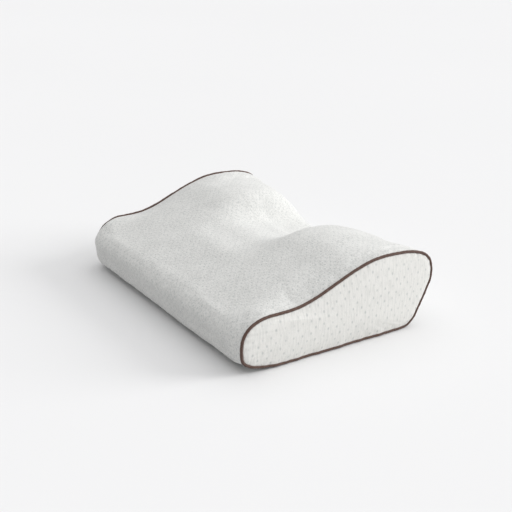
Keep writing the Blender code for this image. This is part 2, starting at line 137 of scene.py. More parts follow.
def linear(colour: str) -> tuple[float, float, float, float]:
    """The linear colour of an sRGB hex value.

    Args:
        colour: six hex digits, with or without a leading hash.

    Returns:
        Red, green, blue and an alpha of 1.
    """
    digits = colour.lstrip("#")
    parts = [int(digits[i:i + 2], 16) / 255.0 for i in (0, 2, 4)]
    return (*[c / 12.92 if c <= 0.04045 else ((c + 0.055) / 1.055) ** 2.4 for c in parts], 1.0)


# --- The pillow's shape ---


@dataclass
class PillowShape:
    """Seam line, saddle and swell of the pillow; the overall sizes come from the frame.

    The pairs from front_under to slant_foot are corners of the seam line: the distance in
    from its front or back, and the height. A span is where something eases in: from and to.
    """

    half_length: float
    half_width: float
    high_lobe: float
    low_lobe: float = 0.0712
    floor_line: float = PIPING_RADIUS
    front_under: Pair = (0.087, 0.027)
    front_top: Pair = (0.045, 0.036)
    slant_top: Pair = (0.0037, 0.0565)
    slant_foot: Pair = (0.022, 0.022)
    under_power: float = 2.8
    front_power: float = 2.3
    back_power: float = 2.75
    rise_span: Pair = (-0.086, 0.070)
    back_widest: float = 0.0725
    back_pull: float = 0.4
    toe_inset: float = 0.046
    toe_pull: float = 0.6
    saddle_depth: float = 0.038
    saddle_half_width: float = 0.070
    saddle_power: float = 4.6
    saddle_shift: float = -0.007
    saddle_span: Pair = (-0.060, 0.078)
    fade_start: float = 0.052
    fade_power: float = 1.3
    notch_depth: float = 0.042
    notch_front: float = 0.040
    wing_crown: float = 0.0030
    wing_place: float = 0.115
    wing_width: float = 0.045
    ridge: float = 0.0026
    ridge_line: float = 0.028
    ridge_width: float = 0.022
    ridge_bend: float = 0.030
    plateau_fall: float = 0.0060
    top_span: Pair = (0.045, 0.057)
    bend_height: float = 0.0555
    bend_softness: float = 0.0010
    bend_span: Pair = (-0.122, -0.102)
    incline: float = 0.31
    incline_span: Pair = (0.045, 0.0)
    middle_ease: float = 0.6
    middle_span: Pair = (-0.070, -0.020)
    heel: float = 0.0065
    heel_height: float = 0.007
    heel_spread: float = 0.010
    brow: float = 0.0046
    brow_height: float = 0.048
    brow_spread: float = 0.011
    front_span: Pair = (-0.085, -0.115)
    front_run: float = 0.025
    free_run: float = 0.060
    crown_run: float = 0.030
    far_round: float = 0.0095
    far_round_reach: float = 0.018
    far_round_span: Pair = (-0.090, -0.135)
    waver_up: float = 0.00035
    waver_aside: float = 0.00025
    waver_on_floor: float = 0.00065
    run: Array = field(init=False)
    line: Array = field(init=False)

    def __post_init__(self) -> None:
        """Lay out the seam line densely and measure it."""
        points = self._trace()
        self.line = np.vstack([points, points[:1]])
        steps = np.linalg.norm(np.diff(self.line, axis=0), axis=1)
        self.run = np.concatenate([[0.0], np.cumsum(steps)])

    @classmethod
    def from_frame(cls) -> "PillowShape":
        """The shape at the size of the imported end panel."""
        low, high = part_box("end_panel_right")
        return cls(half_length=high.x - PANEL_RISE - PANEL_DOME,
                   half_width=PIPING_INSET - low.y, high_lobe=high.z + PIPING_INSET)

    @property
    def girth(self) -> float:
        """Length of the seam line."""
        return float(self.run[-1])

    def slant(self) -> tuple[Array, Array, Array]:
        """Top, foot and upward direction of the leaning flat that carries the zip."""
        top, foot = (np.array([self.half_width - inset, height])
                     for inset, height in (self.slant_top, self.slant_foot))
        return top, foot, unit(top - foot)

    def _trace(self) -> Array:
        """Points of the seam line in Y and Z, from the middle of the zip down and round."""
        top, foot, up = self.slant()
        middle = (top + foot) / 2
        width, floor = self.half_width, self.floor_line
        reach_under, lift = self.front_under
        reach_over, start_over = self.front_top
        rise_start, rise_end = self.rise_span
        toe = np.array([width - self.toe_inset, floor])
        toe_pull = (foot[1] - floor) * self.toe_pull
        under = (-width + reach_under, floor + lift)
        over = (-width + reach_over, start_over)
        rise_y = straight(over[0], rise_end, 320)
        climb = np.clip((rise_y - rise_start) / (rise_end - rise_start), 0.0, 1.0)
        rise_z = self.low_lobe + (self.high_lobe - self.low_lobe) * (1 - np.cos(np.pi * climb)) / 2
        widest = np.array([width, self.back_widest])
        pull = (self.back_widest - top[1]) * self.back_pull
        return np.concatenate([
            straight(middle, foot, 40),
            bezier(foot, foot - up * toe_pull, toe + (toe_pull, 0.0), toe, 70),
            straight(toe, (under[0], floor), 320),
            quarter(under, (-reach_under, -lift), self.under_power, 90, 0, 240),
            straight((-width, under[1]), (-width, over[1]), 12),
            quarter(over, (-reach_over, self.low_lobe - over[1]), self.front_power, 0, 90, 160),
            np.stack([rise_y, rise_z], axis=1),
            quarter((rise_end, self.back_widest),
                    (width - rise_end, self.high_lobe - self.back_widest),
                    self.back_power, 90, 0, 240),
            bezier(widest, widest - (0.0, pull), top + up * pull, top, 30),
            straight(top, middle, 40)])

    def seam(self, s: Array) -> Array:
        """Y and Z of the seam line at distances s round it."""
        s = np.mod(s, self.girth)
        return np.stack([np.interp(s, self.run, axis) for axis in self.line.T], axis=-1)

    def seam_normal(self, s: Array) -> Array:
        """Outward unit normal of the seam line in Y and Z, from a central difference."""
        step = 0.0008
        along = unit(self.seam(s + step) - self.seam(s - step))
        return np.stack([-along[..., 1], along[..., 0]], axis=-1)

    def free(self, x: Array, run: float) -> Array:
        """How free the wrap is from the end seams: 0 at a seam and 1 at a distance from it."""
        return ramp(self.half_length - np.abs(x), 0.0, run)

    def surface(self, x: Array, s: Array) -> Array:
        """The seam line carried along X, with the middle of the high lobe pressed down and in.

        The dip is a blunt bell in x whose middle lies a little off the pillow's, the notch of
        the back edge is a squared cosine from seam to seam, and each wing is a little fuller
        by a bell curve. All three fade to nothing at the leaning flat. The taut top and the
        squarer front come on top of them.
        """
        y, z = np.moveaxis(self.seam(s), -1, 0)
        arch = np.cos(np.pi * np.clip(x / (2 * self.half_length), -0.5, 0.5))
        dip = bell(x, self.saddle_shift * arch, self.saddle_half_width, self.saddle_power)
        wing = bell(np.abs(x), self.wing_place, self.wing_width)
        share = (z - self.fade_start) / (self.high_lobe - self.fade_start)
        high_up = np.clip(share, 0.0, 1.0) ** self.fade_power
        at_back = ramp(y, *self.saddle_span)
        at_edge = ramp(y, self.notch_front, self.half_width)
        new_y = (y - self.notch_depth * arch ** 2 * at_edge * high_up + self.pressed_in(x, y)
                 - self.pushed_out(x, y, z))
        new_z = (z - (self.saddle_depth * dip - self.wing_crown * wing) * at_back * high_up
                 + self.folds(x, y, z))
        return np.stack([x + 0.0 * s, new_y, new_z], axis=-1)

    def pushed_out(self, x: Array, y: Array, z: Array) -> Array:
        """How far the foam's squarer front pushes the wrap forwards, at its heel and brow."""
        heel = self.heel * bell(z, self.heel_height, self.heel_spread)
        brow = self.brow * bell(z, self.brow_height, self.brow_spread)
        return self.free(x, self.front_run) * ramp(y, *self.front_span) * (heel + brow)

    def folds(self, x: Array, y: Array, z: Array) -> Array:
        """How much higher the top stands away from the seams than the seam line alone says.

        Between the ends the wrap is taut over an even incline that rises from a tight front
        bend, and there is a ridge where it meets each wing and a fall from there to the back.
        """
        rise = self.bend_height + (y + self.half_width) * self.incline - z
        cut = (rise - np.sqrt(rise ** 2 + self.bend_softness ** 2)) / 2
        middle = bell(x, 0.0, self.saddle_half_width, 4)
        eased = 1 - self.middle_ease * middle * ramp(y, *self.middle_span)
        taut = rise * eased * ramp(y, *self.incline_span)
        share = ramp(y, *self.bend_span)
        line = self.ridge_line + self.ridge_bend * middle
        ridge = self.ridge * bell(y, line, self.ridge_width)
        fall = self.plateau_fall * ramp(y, line, line + self.half_width - self.ridge_line)
        on_top = self.free(x, self.free_run) * ramp(z, *self.top_span)
        return on_top * ((1 - share) * cut + share * taut + ridge - fall)

    def pressed_in(self, x: Array, y: Array) -> Array:
        """How far the left end's front corner rounds off: the square of the way into it."""
        last = np.clip(1 - (x + self.half_length) / self.far_round_reach, 0.0, 1.2) ** 2
        return self.far_round * last * ramp(y, *self.far_round_span)

    def swell(self, x: Array, s: Array) -> Array:
        """Height of the wrap over the seam line: a quarter sine in from the nearer seam."""
        share = np.clip((self.half_length - np.abs(x)) / self.crown_run, 0.0, 1.0)
        return SWELL * np.sin(share * np.pi / 2) + 0.0 * s

    def face(self, x: Array, s: Array, lift: Array) -> Array:
        """Points that stand lift off the surface along its normal."""
        step = 0.0006
        along = self.surface(x + step, s) - self.surface(x - step, s)
        around = self.surface(x, s + step) - self.surface(x, s - step)
        return self.surface(x, s) + unit(np.cross(along, around)) * lift[..., None]

    def waver(self, s: Array) -> tuple[Array, Array]:
        """How far the sewn seam strays from its line, outward in its plane and along X.

        Each sine has a whole number of waves round the seam. On the floor the seam strays
        along X and not downwards.
        """
        wave = waves(TURN * s / self.girth, (0.5, 9, 0.7), (0.3, 22, 2.1), (0.25, 43, 4.0))
        on_floor = ramp(self.seam(s)[..., 1], 0.020, 0.008)
        aside = self.waver_aside + self.waver_on_floor * on_floor
        return self.waver_up * wave * (1 - on_floor), wave * aside

    def seam_point(self, side: Side, s: Array, out: Array, inset: Array) -> Array:
        """Points near an end seam.

        Args:
            side: the end of the pillow.
            s: distances round the seam.
            out: distances outwards along X from the seam plane.
            inset: distances inwards from the seam line, in its plane.

        Returns:
            The points, with the seam's waver in them.
        """
        up, aside = self.waver(s)
        flat = self.seam(s) + self.seam_normal(s) * (up - inset)[..., None]
        flat[..., 0] += self.pressed_in(side.value * self.half_length, flat[..., 0])
        x = side.value * (self.half_length + out + aside)
        return np.concatenate([x[..., None], flat], axis=-1)


# --- Meshes from arrays ---


@dataclass
class Patch:
    """A mesh in the making: points, faces and, for cloth, a UV pair for each face corner."""

    points: Array
    faces: list[list[int]]
    corners: Array | None = None

    @classmethod
    def grid(cls, points: Array, fabric: Array | None = None, round_first: bool = False,
             round_second: bool = False) -> "Patch":
        """Quads between neighbouring points of a grid.

        Args:
            points: rows by columns by 3.
            fabric: the UV pair of each grid point, with one row or column more where that
                direction closes on itself.
            round_first: whether the last row joins the first.
            round_second: whether the last column joins the first.

        Returns:
            The patch.
        """
        rows, columns = points.shape[:2]
        i = np.arange(rows if round_first else rows - 1)[:, None]
        j = np.arange(columns if round_second else columns - 1)[None, :]
        steps = [(0, 0), (1, 0), (1, 1), (0, 1)]
        faces = np.stack([((i + a) % rows) * columns + (j + b) % columns for a, b in steps], -1)
        corners = None
        if fabric is not None:
            corners = np.stack([fabric[i + a, j + b] for a, b in steps], axis=2).reshape(-1, 2)
        return cls(points.reshape(-1, 3), faces.reshape(-1, 4).tolist(), corners)

    @classmethod
    def disc(cls, rings: Array, tip: Array, start: Array | None = None) -> "Patch":
        """Rings that close on themselves, with a fan to a tip and one from a start, if given."""
        patch = cls.grid(rings, round_second=True)
        count, last = rings.shape[1], len(patch.points)
        base = last - count
        patch.faces += [[base + (j + 1) % count, base + j, last] for j in range(count)]
        if start is not None:
            patch.faces += [[(j + 1) % count, j, last + 1] for j in range(count)]
        tips = [tip] if start is None else [tip, start]
        patch.points = np.vstack([patch.points, *tips])
        return patch

    @classmethod
    def tube(cls, path: Array, across: Array, up: Array, section: Array,
             closed: bool = False) -> "Patch":
        """A section carried along a path.

        Args:
            path: points along the way.
            across: the direction of the section's first axis at each point.
            up: the direction of its second axis at each point.
            section: points of the closed section, by two.
            closed: whether the path comes back to its start; otherwise its ends are capped.

        Returns:
            The patch: path + section[0] times across + section[1] times up.
        """
        rings = (path[:, None] + section[None, :, :1] * across[:, None]
                 + section[None, :, 1:] * up[:, None])
        patch = cls.grid(rings, round_first=closed, round_second=True)
        if not closed:
            count, last = len(section), (len(path) - 1) * len(section)
            patch.faces += [list(range(count))[::-1], [last + j for j in range(count)]]
        return patch

    @classmethod
    def prism(cls, outline: Array, low: float, high: float) -> "Patch":
        """A flat outline raised from one height to another."""
        path = np.array([[0.0, 0.0, low], [0.0, 0.0, high]])
        across, up = np.tile([1.0, 0.0, 0.0], (2, 1)), np.tile([0.0, 1.0, 0.0], (2, 1))
        return cls.tube(path, across, up, outline)

    @classmethod
    def together(cls, patches: list["Patch"]) -> "Patch":
        """Several patches as one mesh, without their UV pairs."""
        starts = np.cumsum([0] + [len(p.points) for p in patches])
        faces = [[v + int(start) for v in face]
                 for start, patch in zip(starts, patches) for face in patch.faces]
        return cls(np.vstack([p.points for p in patches]), faces)

    def flipped(self, side: Side) -> "Patch":
        """The patch, turned over if it is for the left end."""
        if side is Side.LEFT:
            self.faces = [face[::-1] for face in self.faces]
        return self


@dataclass
class Piece:
    """One finished piece: its name, its slot, the nodes it stands for and its body."""

    name: str
    slot: str
    nodes: tuple[str, ...] = ()
    body: str = "pillow"

    @classmethod
    def of(cls, node: str, word: str, slot: str, body: str = "pillow") -> "Piece":
        """The piece that stands for a node, named after it and a word."""
        return cls(f"{node}_{word}", slot, (node,), body)

    def make(self, patch: Patch, finish: Material, merge: float = 0.0,
             outwards: bool = False, capped: bool = False) -> bpy.types.Object:
        """Put a patch into the scene.

        Args:
            patch: the mesh's arrays.
            finish: its material.
            merge: distance under which neighbouring points become one.
            outwards: whether to turn the faces of each closed shell outwards.
            capped: whether to close its open ends.

        Returns:
            The object, riding on its body.
        """
        mesh = bpy.data.meshes.new(self.name)
        mesh.from_pydata(patch.points.tolist(), [], patch.faces)
        if patch.corners is not None:
            layer = mesh.uv_layers.new(name=FABRIC)
            layer.data.foreach_set("uv", patch.corners.astype(np.float32).ravel())
        work = bmesh.new()
        work.from_mesh(mesh)
        if merge:
            bmesh.ops.remove_doubles(work, verts=work.verts, dist=merge)
        if capped:
            bmesh.ops.holes_fill(work, edges=[e for e in work.edges if e.is_boundary])
        if outwards:
            bmesh.ops.recalc_face_normals(work, faces=work.faces)
        work.to_mesh(mesh)
        work.free()
        mesh.polygons.foreach_set("use_smooth", np.ones(len(mesh.polygons), dtype=bool))
        mesh.materials.append(finish)
        made = bpy.data.objects.new(self.name, mesh)
        bpy.context.scene.collection.objects.link(made)
        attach(made, self.body)
        if self.nodes:
            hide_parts(*self.nodes)
        LOG.info("%s: %d faces on %s", self.name, len(mesh.polygons), self.body)
        return made

    def stuff(self, patch: Patch, finish: Material, thickness: float = 0.0,
              **ways: float) -> None:
        """Put in a piece that the foam stuffs out, with its thickness going inwards if given."""
        made = self.make(patch, finish, **ways)
        if thickness:
            wall = made.modifiers.new("cloth thickness", "SOLIDIFY")
            wall.thickness = thickness
            wall.offset = -1.0
            wall.use_even_offset = False


# --- Finishes ---


class Finish:
    """A material under construction, with one way to add a node."""

    def __init__(self, name: str, roughness: float, **sockets: float) -> None:
        """Start from a Principled shader.

        Args:
            name: the finish's name.
            roughness: the shader's roughness.
            sockets: values for the shader's other sockets, with _ for a space.
        """
        self.material = bpy.data.materials.new(name)
        self.material.use_nodes = True
        self.tree = self.material.node_tree
        self.shader = self.tree.nodes["Principled BSDF"]
        for socket, value in {"Roughness": roughness, **sockets}.items():
            self.shader.inputs[socket.replace("_", " ")].default_value = value

    def add(self, kind: str, inputs: dict, **settings: object) -> bpy.types.Node:
        """Add a node.

        Args:
            kind: the node's type name, after ShaderNode.
            inputs: for a socket's name or number, its value or the socket that feeds it.
            settings: the node's own settings.

        Returns:
            The node.
        """
        made = self.tree.nodes.new("ShaderNode" + kind)
        for name, value in settings.items():
            setattr(made, name, value)
        for name, value in inputs.items():
            if isinstance(value, Socket):
                self.tree.links.new(value, made.inputs[name])
            else:
                made.inputs[name].default_value = value
        return made

    def feed(self, socket: str, source: Socket) -> None:
        """Link a socket of the shader."""
        self.tree.links.new(source, self.shader.inputs[socket])

    def cloth_mm(self, wide: float, tall: float = 0.0, degrees: float = 0.0) -> Socket:
        """The cloth's own coordinates in units of wide by tall millimetres, turned."""
        place = self.add("UVMap", {}, uv_map=FABRIC).outputs["UV"]
        size = (1000.0 / wide, 1000.0 / (tall or wide), 1.0)
        turn = (0.0, 0.0, math.radians(degrees))
        return self.add("Mapping", {"Vector": place, "Scale": size, "Rotation": turn}).outputs[0]

    def object_mm(self, scale: float) -> Socket:
        """The object's coordinates in units of scale millimetres."""
        place = self.add("TexCoord", {}).outputs["Object"]
        return self.add("Mapping", {"Vector": place, "Scale": (1000.0 / scale,) * 3}).outputs[0]

    def noise(self, place: Socket, detail: float, scale: float = 1.0,
              roughness: float = 0.5) -> Socket:
        """Smooth noise, about one blob in each unit of a place."""
        return self.add("TexNoise", {"Vector": place, "Scale": scale, "Detail": detail,
                                     "Roughness": roughness}).outputs["Fac"]

    def cells(self, place: Socket, randomness: float) -> bpy.types.Node:
        """Cells, one in each unit of a place."""
        return self.add("TexVoronoi", {"Vector": place, "Scale": 1.0, "Randomness": randomness})

    def ribs(self, place: Socket, **inputs: float) -> Socket:
        """Straight ribs across the first axis of a place, one in each unit."""
        return self.add("TexWave", {"Vector": place, "Scale": 0.31, **inputs}, wave_type="BANDS",
                        bands_direction="X").outputs["Fac"]

    def blend(self, share: Socket, first: str | Socket, second: str | Socket) -> Socket:
        """A mix of two colours, each a hex value or a socket."""
        ends = [linear(end) if isinstance(end, str) else end for end in (first, second)]
        return self.add("Mix", {0: share, 6: ends[0], 7: ends[1]}, data_type="RGBA").outputs[2]

    def sum_up(self, operation: str, *terms: object) -> Socket:
        """A Math node."""
        return self.add("Math", dict(enumerate(terms)), operation=operation).outputs[0]

    def ease(self, value: Socket, low: float, high: float, start: float = 0.0,
             end: float = 1.0) -> Socket:
        """A value's way from low to high, as a smooth share from start to end."""
        ends = {"Value": value, "From Min": low, "From Max": high, "To Min": start, "To Max": end}
        return self.add("MapRange", ends, interpolation_type="SMOOTHSTEP").outputs["Result"]

    def tuck_dots(self, spacing: float, tall: float, core: float, edge: float) -> Socket:
        """Staggered tuck stitches: a square lattice turned by 45 degrees.

        Args:
            spacing: distance between dots of one row, in millimetres.
            tall: a dot's height over its width.
            core: radius that is full, in lattice steps.
            edge: radius where the dot ends, in lattice steps.

        Returns:
            A share from 0 to 1.
        """
        step = spacing / math.sqrt(2.0)
        lattice = self.cells(self.cloth_mm(step, step * tall, 45), 0.16)
        return self.ease(lattice.outputs["Distance"], edge, core)

    def colour(self, share: Socket, first: str | Socket, second: str | Socket) -> None:
        """Give the surface a mix of two colours."""
        self.feed("Base Color", self.blend(share, first, second))

    def bumped(self, height: Socket, distance: float, strength: float) -> Material:
        """Raise the surface by height times distance, and hand the material over."""
        made = self.add("Bump", {"Height": height, "Distance": distance, "Strength": strength})
        self.feed("Normal", made.outputs["Normal"])
        return self.material


@dataclass(frozen=True)
class WrapKnit:
    """Heathered double-knit jersey: fibres dyed light and mid grey, knitted into small domes.

    The eye gets a soft pale grey with a fine mottle, faint dots where a stitch is tucked, and
    a matt face with a little fuzz. A real stitch is 0.8 mm; it is drawn at cell_mm, the
    coarsest group of stitches, so that it shows from a metre away.
    """

    light: str = "#dcdcd9"
    dark: str = "#bcbdba"
    tuck: str = "#a3abab"
    cell_mm: float = 2.3
    yarn_mm: float = 1.5
    cloud_mm: float = 34.0
    dot_spacing_mm: float = 9.0

    def build(self) -> Material:
        """Make the material."""
        f = Finish("heathered_double_knit", 0.92, Sheen_Weight=0.3, Sheen_Roughness=0.35,
                   Specular_IOR_Level=0.25)
        cells = f.cells(f.cloth_mm(self.cell_mm), 0.75)
        yarn = f.noise(f.cloth_mm(self.yarn_mm), 3.0, roughness=0.7)
        cloud = f.noise(f.cloth_mm(self.cloud_mm), 2.0)
        own = f.add("SeparateColor", {"Color": cells.outputs["Color"]}).outputs[0]
        mottle = f.sum_up("MULTIPLY", own, f.ease(yarn, 0.35, 0.65))
        mottle = f.sum_up("ADD", mottle, f.ease(cloud, 0.3, 0.7, -0.08, 0.08))
        dots = f.tuck_dots(self.dot_spacing_mm, 1.15, 0.10, 0.22)
        f.colour(f.sum_up("MULTIPLY", dots, 0.42), f.blend(mottle, self.light, self.dark),
                 self.tuck)
        dome = f.sum_up("SUBTRACT", 1.0, cells.outputs["Distance"])
        height = f.sum_up("ADD", dome, f.sum_up("MULTIPLY", yarn, 0.5))
        height = f.sum_up("SUBTRACT", height, f.sum_up("MULTIPLY", dots, 0.7))
        return f.bumped(height, 0.00030, 0.55)


@dataclass(frozen=True)
class PanelKnit:
    """Off-white double knit with sparse grey-blue tuck stitches in staggered rows.

    The eye gets a bright warm white with fine upright wales and small cool dots.
    """

    ground: str = "#e2e1dd"
    shade: str = "#d4d4d0"
    tuck: str = "#9da3a3"
    wale_mm: Pair = (2.4, 16.0)
    yarn_mm: float = 1.4
    dot_spacing_mm: float = 13.0

    def build(self) -> Material:
        """Make the material."""
        f = Finish("off_white_tuck_knit", 0.9, Sheen_Weight=0.10, Sheen_Roughness=0.5,
                   Specular_IOR_Level=0.25)
        streak = f.noise(f.cloth_mm(*self.wale_mm), 3.0, roughness=0.6)
        yarn = f.noise(f.cloth_mm(self.yarn_mm), 2.0)
        share = f.sum_up("MULTIPLY", f.ease(streak, 0.4, 0.66), 0.75)
        share = f.sum_up("ADD", share, f.ease(yarn, 0.4, 0.7, 0.0, 0.25))
        dots = f.tuck_dots(self.dot_spacing_mm, 1.35, 0.04, 0.24)
        f.colour(f.sum_up("MULTIPLY", dots, 0.45), f.blend(share, self.ground, self.shade),
                 self.tuck)
        height = f.sum_up("ADD", streak, yarn)
        height = f.sum_up("SUBTRACT", height, f.sum_up("MULTIPLY", dots, 0.5))
        return f.bumped(height, 0.00030, 0.5)


@dataclass(frozen=True)
class BiasTwill:
    """Brown bias-cut cotton twill: fine slanting ribs, dull, with painted shade in the grooves."""

    # deep is painted shade: the colour put in the grooves between the ribs
    deep: str = "#3d2c26"
    ridge: str = "#74594e"
    rib_mm: float = 1.1
    slub_mm: Pair = (7.0, 1.2)

    def build(self) -> Material:
        """Make the material."""
        f = Finish("brown_bias_twill", 0.72, Sheen_Weight=0.25, Sheen_Roughness=0.4,
                   Specular_IOR_Level=0.35)
        rib = f.ribs(f.cloth_mm(self.rib_mm, degrees=38), Distortion=0.6, Detail=1.0)
        slub = f.noise(f.cloth_mm(*self.slub_mm), 2.0)
        # Colour: painted shade in the grooves where the rib is low, the plain brown on the ridges.
        share = f.sum_up("MULTIPLY", rib, f.ease(slub, 0.3, 0.7, 0.55, 1.0))
        f.colour(share, self.deep, self.ridge)
        return f.bumped(rib, 0.00018, 0.7)


@dataclass(frozen=True)
class PlainCloth:
    """A plain cloth or cord: two close tones, threads at thread_mm, a low bump."""

    name: str
    light: str
    dark: str
    thread_mm: float
    bump: float = 0.0002
    roughness: float = 0.9
    sheen: float = 0.1

    def build(self) -> Material:
        """Make the material."""
        f = Finish(self.name, self.roughness, Sheen_Weight=self.sheen, Specular_IOR_Level=0.3)
        place = f.object_mm(self.thread_mm)
        thread = f.cells(place, 0.6).outputs["Distance"]
        share = f.sum_up("MULTIPLY", thread, f.ease(f.noise(place, 2.0, 0.3), 0.3, 0.7, 0.4, 1.1))
        f.colour(share, self.light, self.dark)
        return f.bumped(f.sum_up("SUBTRACT", 1.0, thread), self.bump, 0.6)


@dataclass(frozen=True)
class WovenTape:
    """Grey polyester zip tape: a herringbone weave of fine ribs along its length."""

    light: str = "#b4b7b5"
    dark: str = "#8c908e"
    rib_mm: float = 0.8

    def build(self) -> Material:
        """Make the material."""
        f = Finish("woven_zip_tape", 0.8, Sheen_Weight=0.1, Specular_IOR_Level=0.3)
        ribs = f.ribs(f.cloth_mm(self.rib_mm, degrees=30), Distortion=0.4)
        f.colour(ribs, self.dark, self.light)
        return f.bumped(ribs, 0.00012, 0.7)


@dataclass(frozen=True)
class NylonCoil:
    """Extruded nylon monofilament, grey: smooth, a little translucent, with soft highlights."""

    colour: str = "#9da19f"
    shade: str = "#8a8e8c"
    wear_mm: float = 9.0

    def build(self) -> Material:
        """Make the material."""
        f = Finish("nylon_coil", 0.38, IOR=1.53, Subsurface_Weight=0.08)
        wear = f.noise(f.object_mm(self.wear_mm), 2.0)
        f.colour(f.ease(wear, 0.35, 0.65), self.colour, self.shade)
        f.feed("Roughness", f.ease(wear, 0.3, 0.7, 0.32, 0.46))
        return f.material


@dataclass(frozen=True)
class PlatedZinc:
    """Die-cast zinc alloy, barrel plated in satin nickel: grey, softly mirrored, fine scuffs."""

    colour: str = "#b9b8b4"
    worn: str = "#a3a29f"
    scuff_mm: float = 1.4

    def build(self) -> Material:
        """Make the material."""
        f = Finish("satin_plated_zinc", 0.3, Metallic=1.0)
        scuff = f.noise(f.object_mm(self.scuff_mm), 4.0, roughness=0.65)
        f.colour(f.ease(scuff, 0.4, 0.7), self.colour, self.worn)
        f.feed("Roughness", f.ease(scuff, 0.3, 0.7, 0.24, 0.42))
        return f.bumped(scuff, 0.00003, 0.4)


FOAM = PlainCloth("open_cell_memory_foam", "#efe3bd", "#d9c998", 1.2, 0.0004, 0.95, 0.0)
LINER = PlainCloth("white_liner_jersey", "#e9e9e7", "#d4d4d2", 1.0)
FILLER = PlainCloth("twisted_cotton_filler", "#ded7c6", "#c4bba6", 0.6)
THREAD = PlainCloth("spun_polyester_thread", "#c9ccca", "#a9adab", 0.5, 0.00008, 0.6, 0.2)
SATIN = PlainCloth("blank_satin_label", "#f2f2ef", "#e2e2df", 0.5, 0.00005, 0.45, 0.3)


# --- The cover ---


@dataclass(frozen=True)
class AirFilled:
    """A short cloth simulation: pressure from inside, no weight, some edges held.

    slack is how much longer the cloth is than the form it lies on, as a share, limit the most
    that it may stand off, and sink the most that it may press in. mass is for each vertex.
    """

    pressure: float = 4.0
    slack: float = 0.010
    frames: int = 20
    limit: float = 0.0016
    sink: float = 0.0002
    mass: float = 0.15
    stretch: float = 30.0
    shear: float = 8.0
    bending: float = 0.4
    quality: int = 6

    def settle(self, points: Array, held: Array) -> Array:
        """Let a cloth fill out.

        Args:
            points: rows by columns by 3, facing outwards.
            held: which of them can't move.

        Returns:
            How far each point has moved, by 3.
        """
        patch = Patch.grid(points)
        scene = bpy.context.scene
        mesh = bpy.data.meshes.new("cloth at work")
        mesh.from_pydata(patch.points.tolist(), [], patch.faces)
        made = bpy.data.objects.new(mesh.name, mesh)
        scene.collection.objects.link(made)
        group = made.vertex_groups.new(name="held")
        group.add(np.flatnonzero(held.ravel()).tolist(), 1.0, "REPLACE")
        cloth = made.modifiers.new("cloth", "CLOTH")
        rules = cloth.settings
        rules.vertex_group_mass = group.name
        rules.quality = self.quality
        rules.mass = self.mass
        rules.tension_stiffness = rules.compression_stiffness = self.stretch
        rules.shear_stiffness = self.shear
        rules.bending_stiffness = self.bending
        rules.shrink_min = -self.slack
        rules.use_pressure = True
        rules.uniform_pressure_force = self.pressure
        rules.effector_weights.gravity = 0.0
        cloth.collision_settings.use_collision = False
        cloth.point_cache.frame_start, cloth.point_cache.frame_end = 1, self.frames
        for number in range(1, self.frames + 1):
            scene.frame_set(number)
        result = made.evaluated_get(bpy.context.evaluated_depsgraph_get())
        moved = np.empty(points.size, dtype=np.float32)
        result.data.vertices.foreach_get("co", moved)
        bpy.data.objects.remove(made)
        bpy.data.meshes.remove(mesh)
        scene.frame_set(1)
        return moved.astype(float).reshape(points.shape) - points


def resample(values: Array, i: Array, j: Array) -> Array:
    """Values of a grid between its points, at fractional rows i and columns j."""
    low_i = np.clip(i.astype(int), 0, values.shape[0] - 2)
    low_j = np.clip(j.astype(int), 0, values.shape[1] - 2)
    u, v = i - low_i, j - low_j
    near, far = (values[row, low_j] * (1 - v) + values[row, low_j + 1] * v
                 for row in (low_i, low_i + 1))
    return near * (1 - u) + far * u


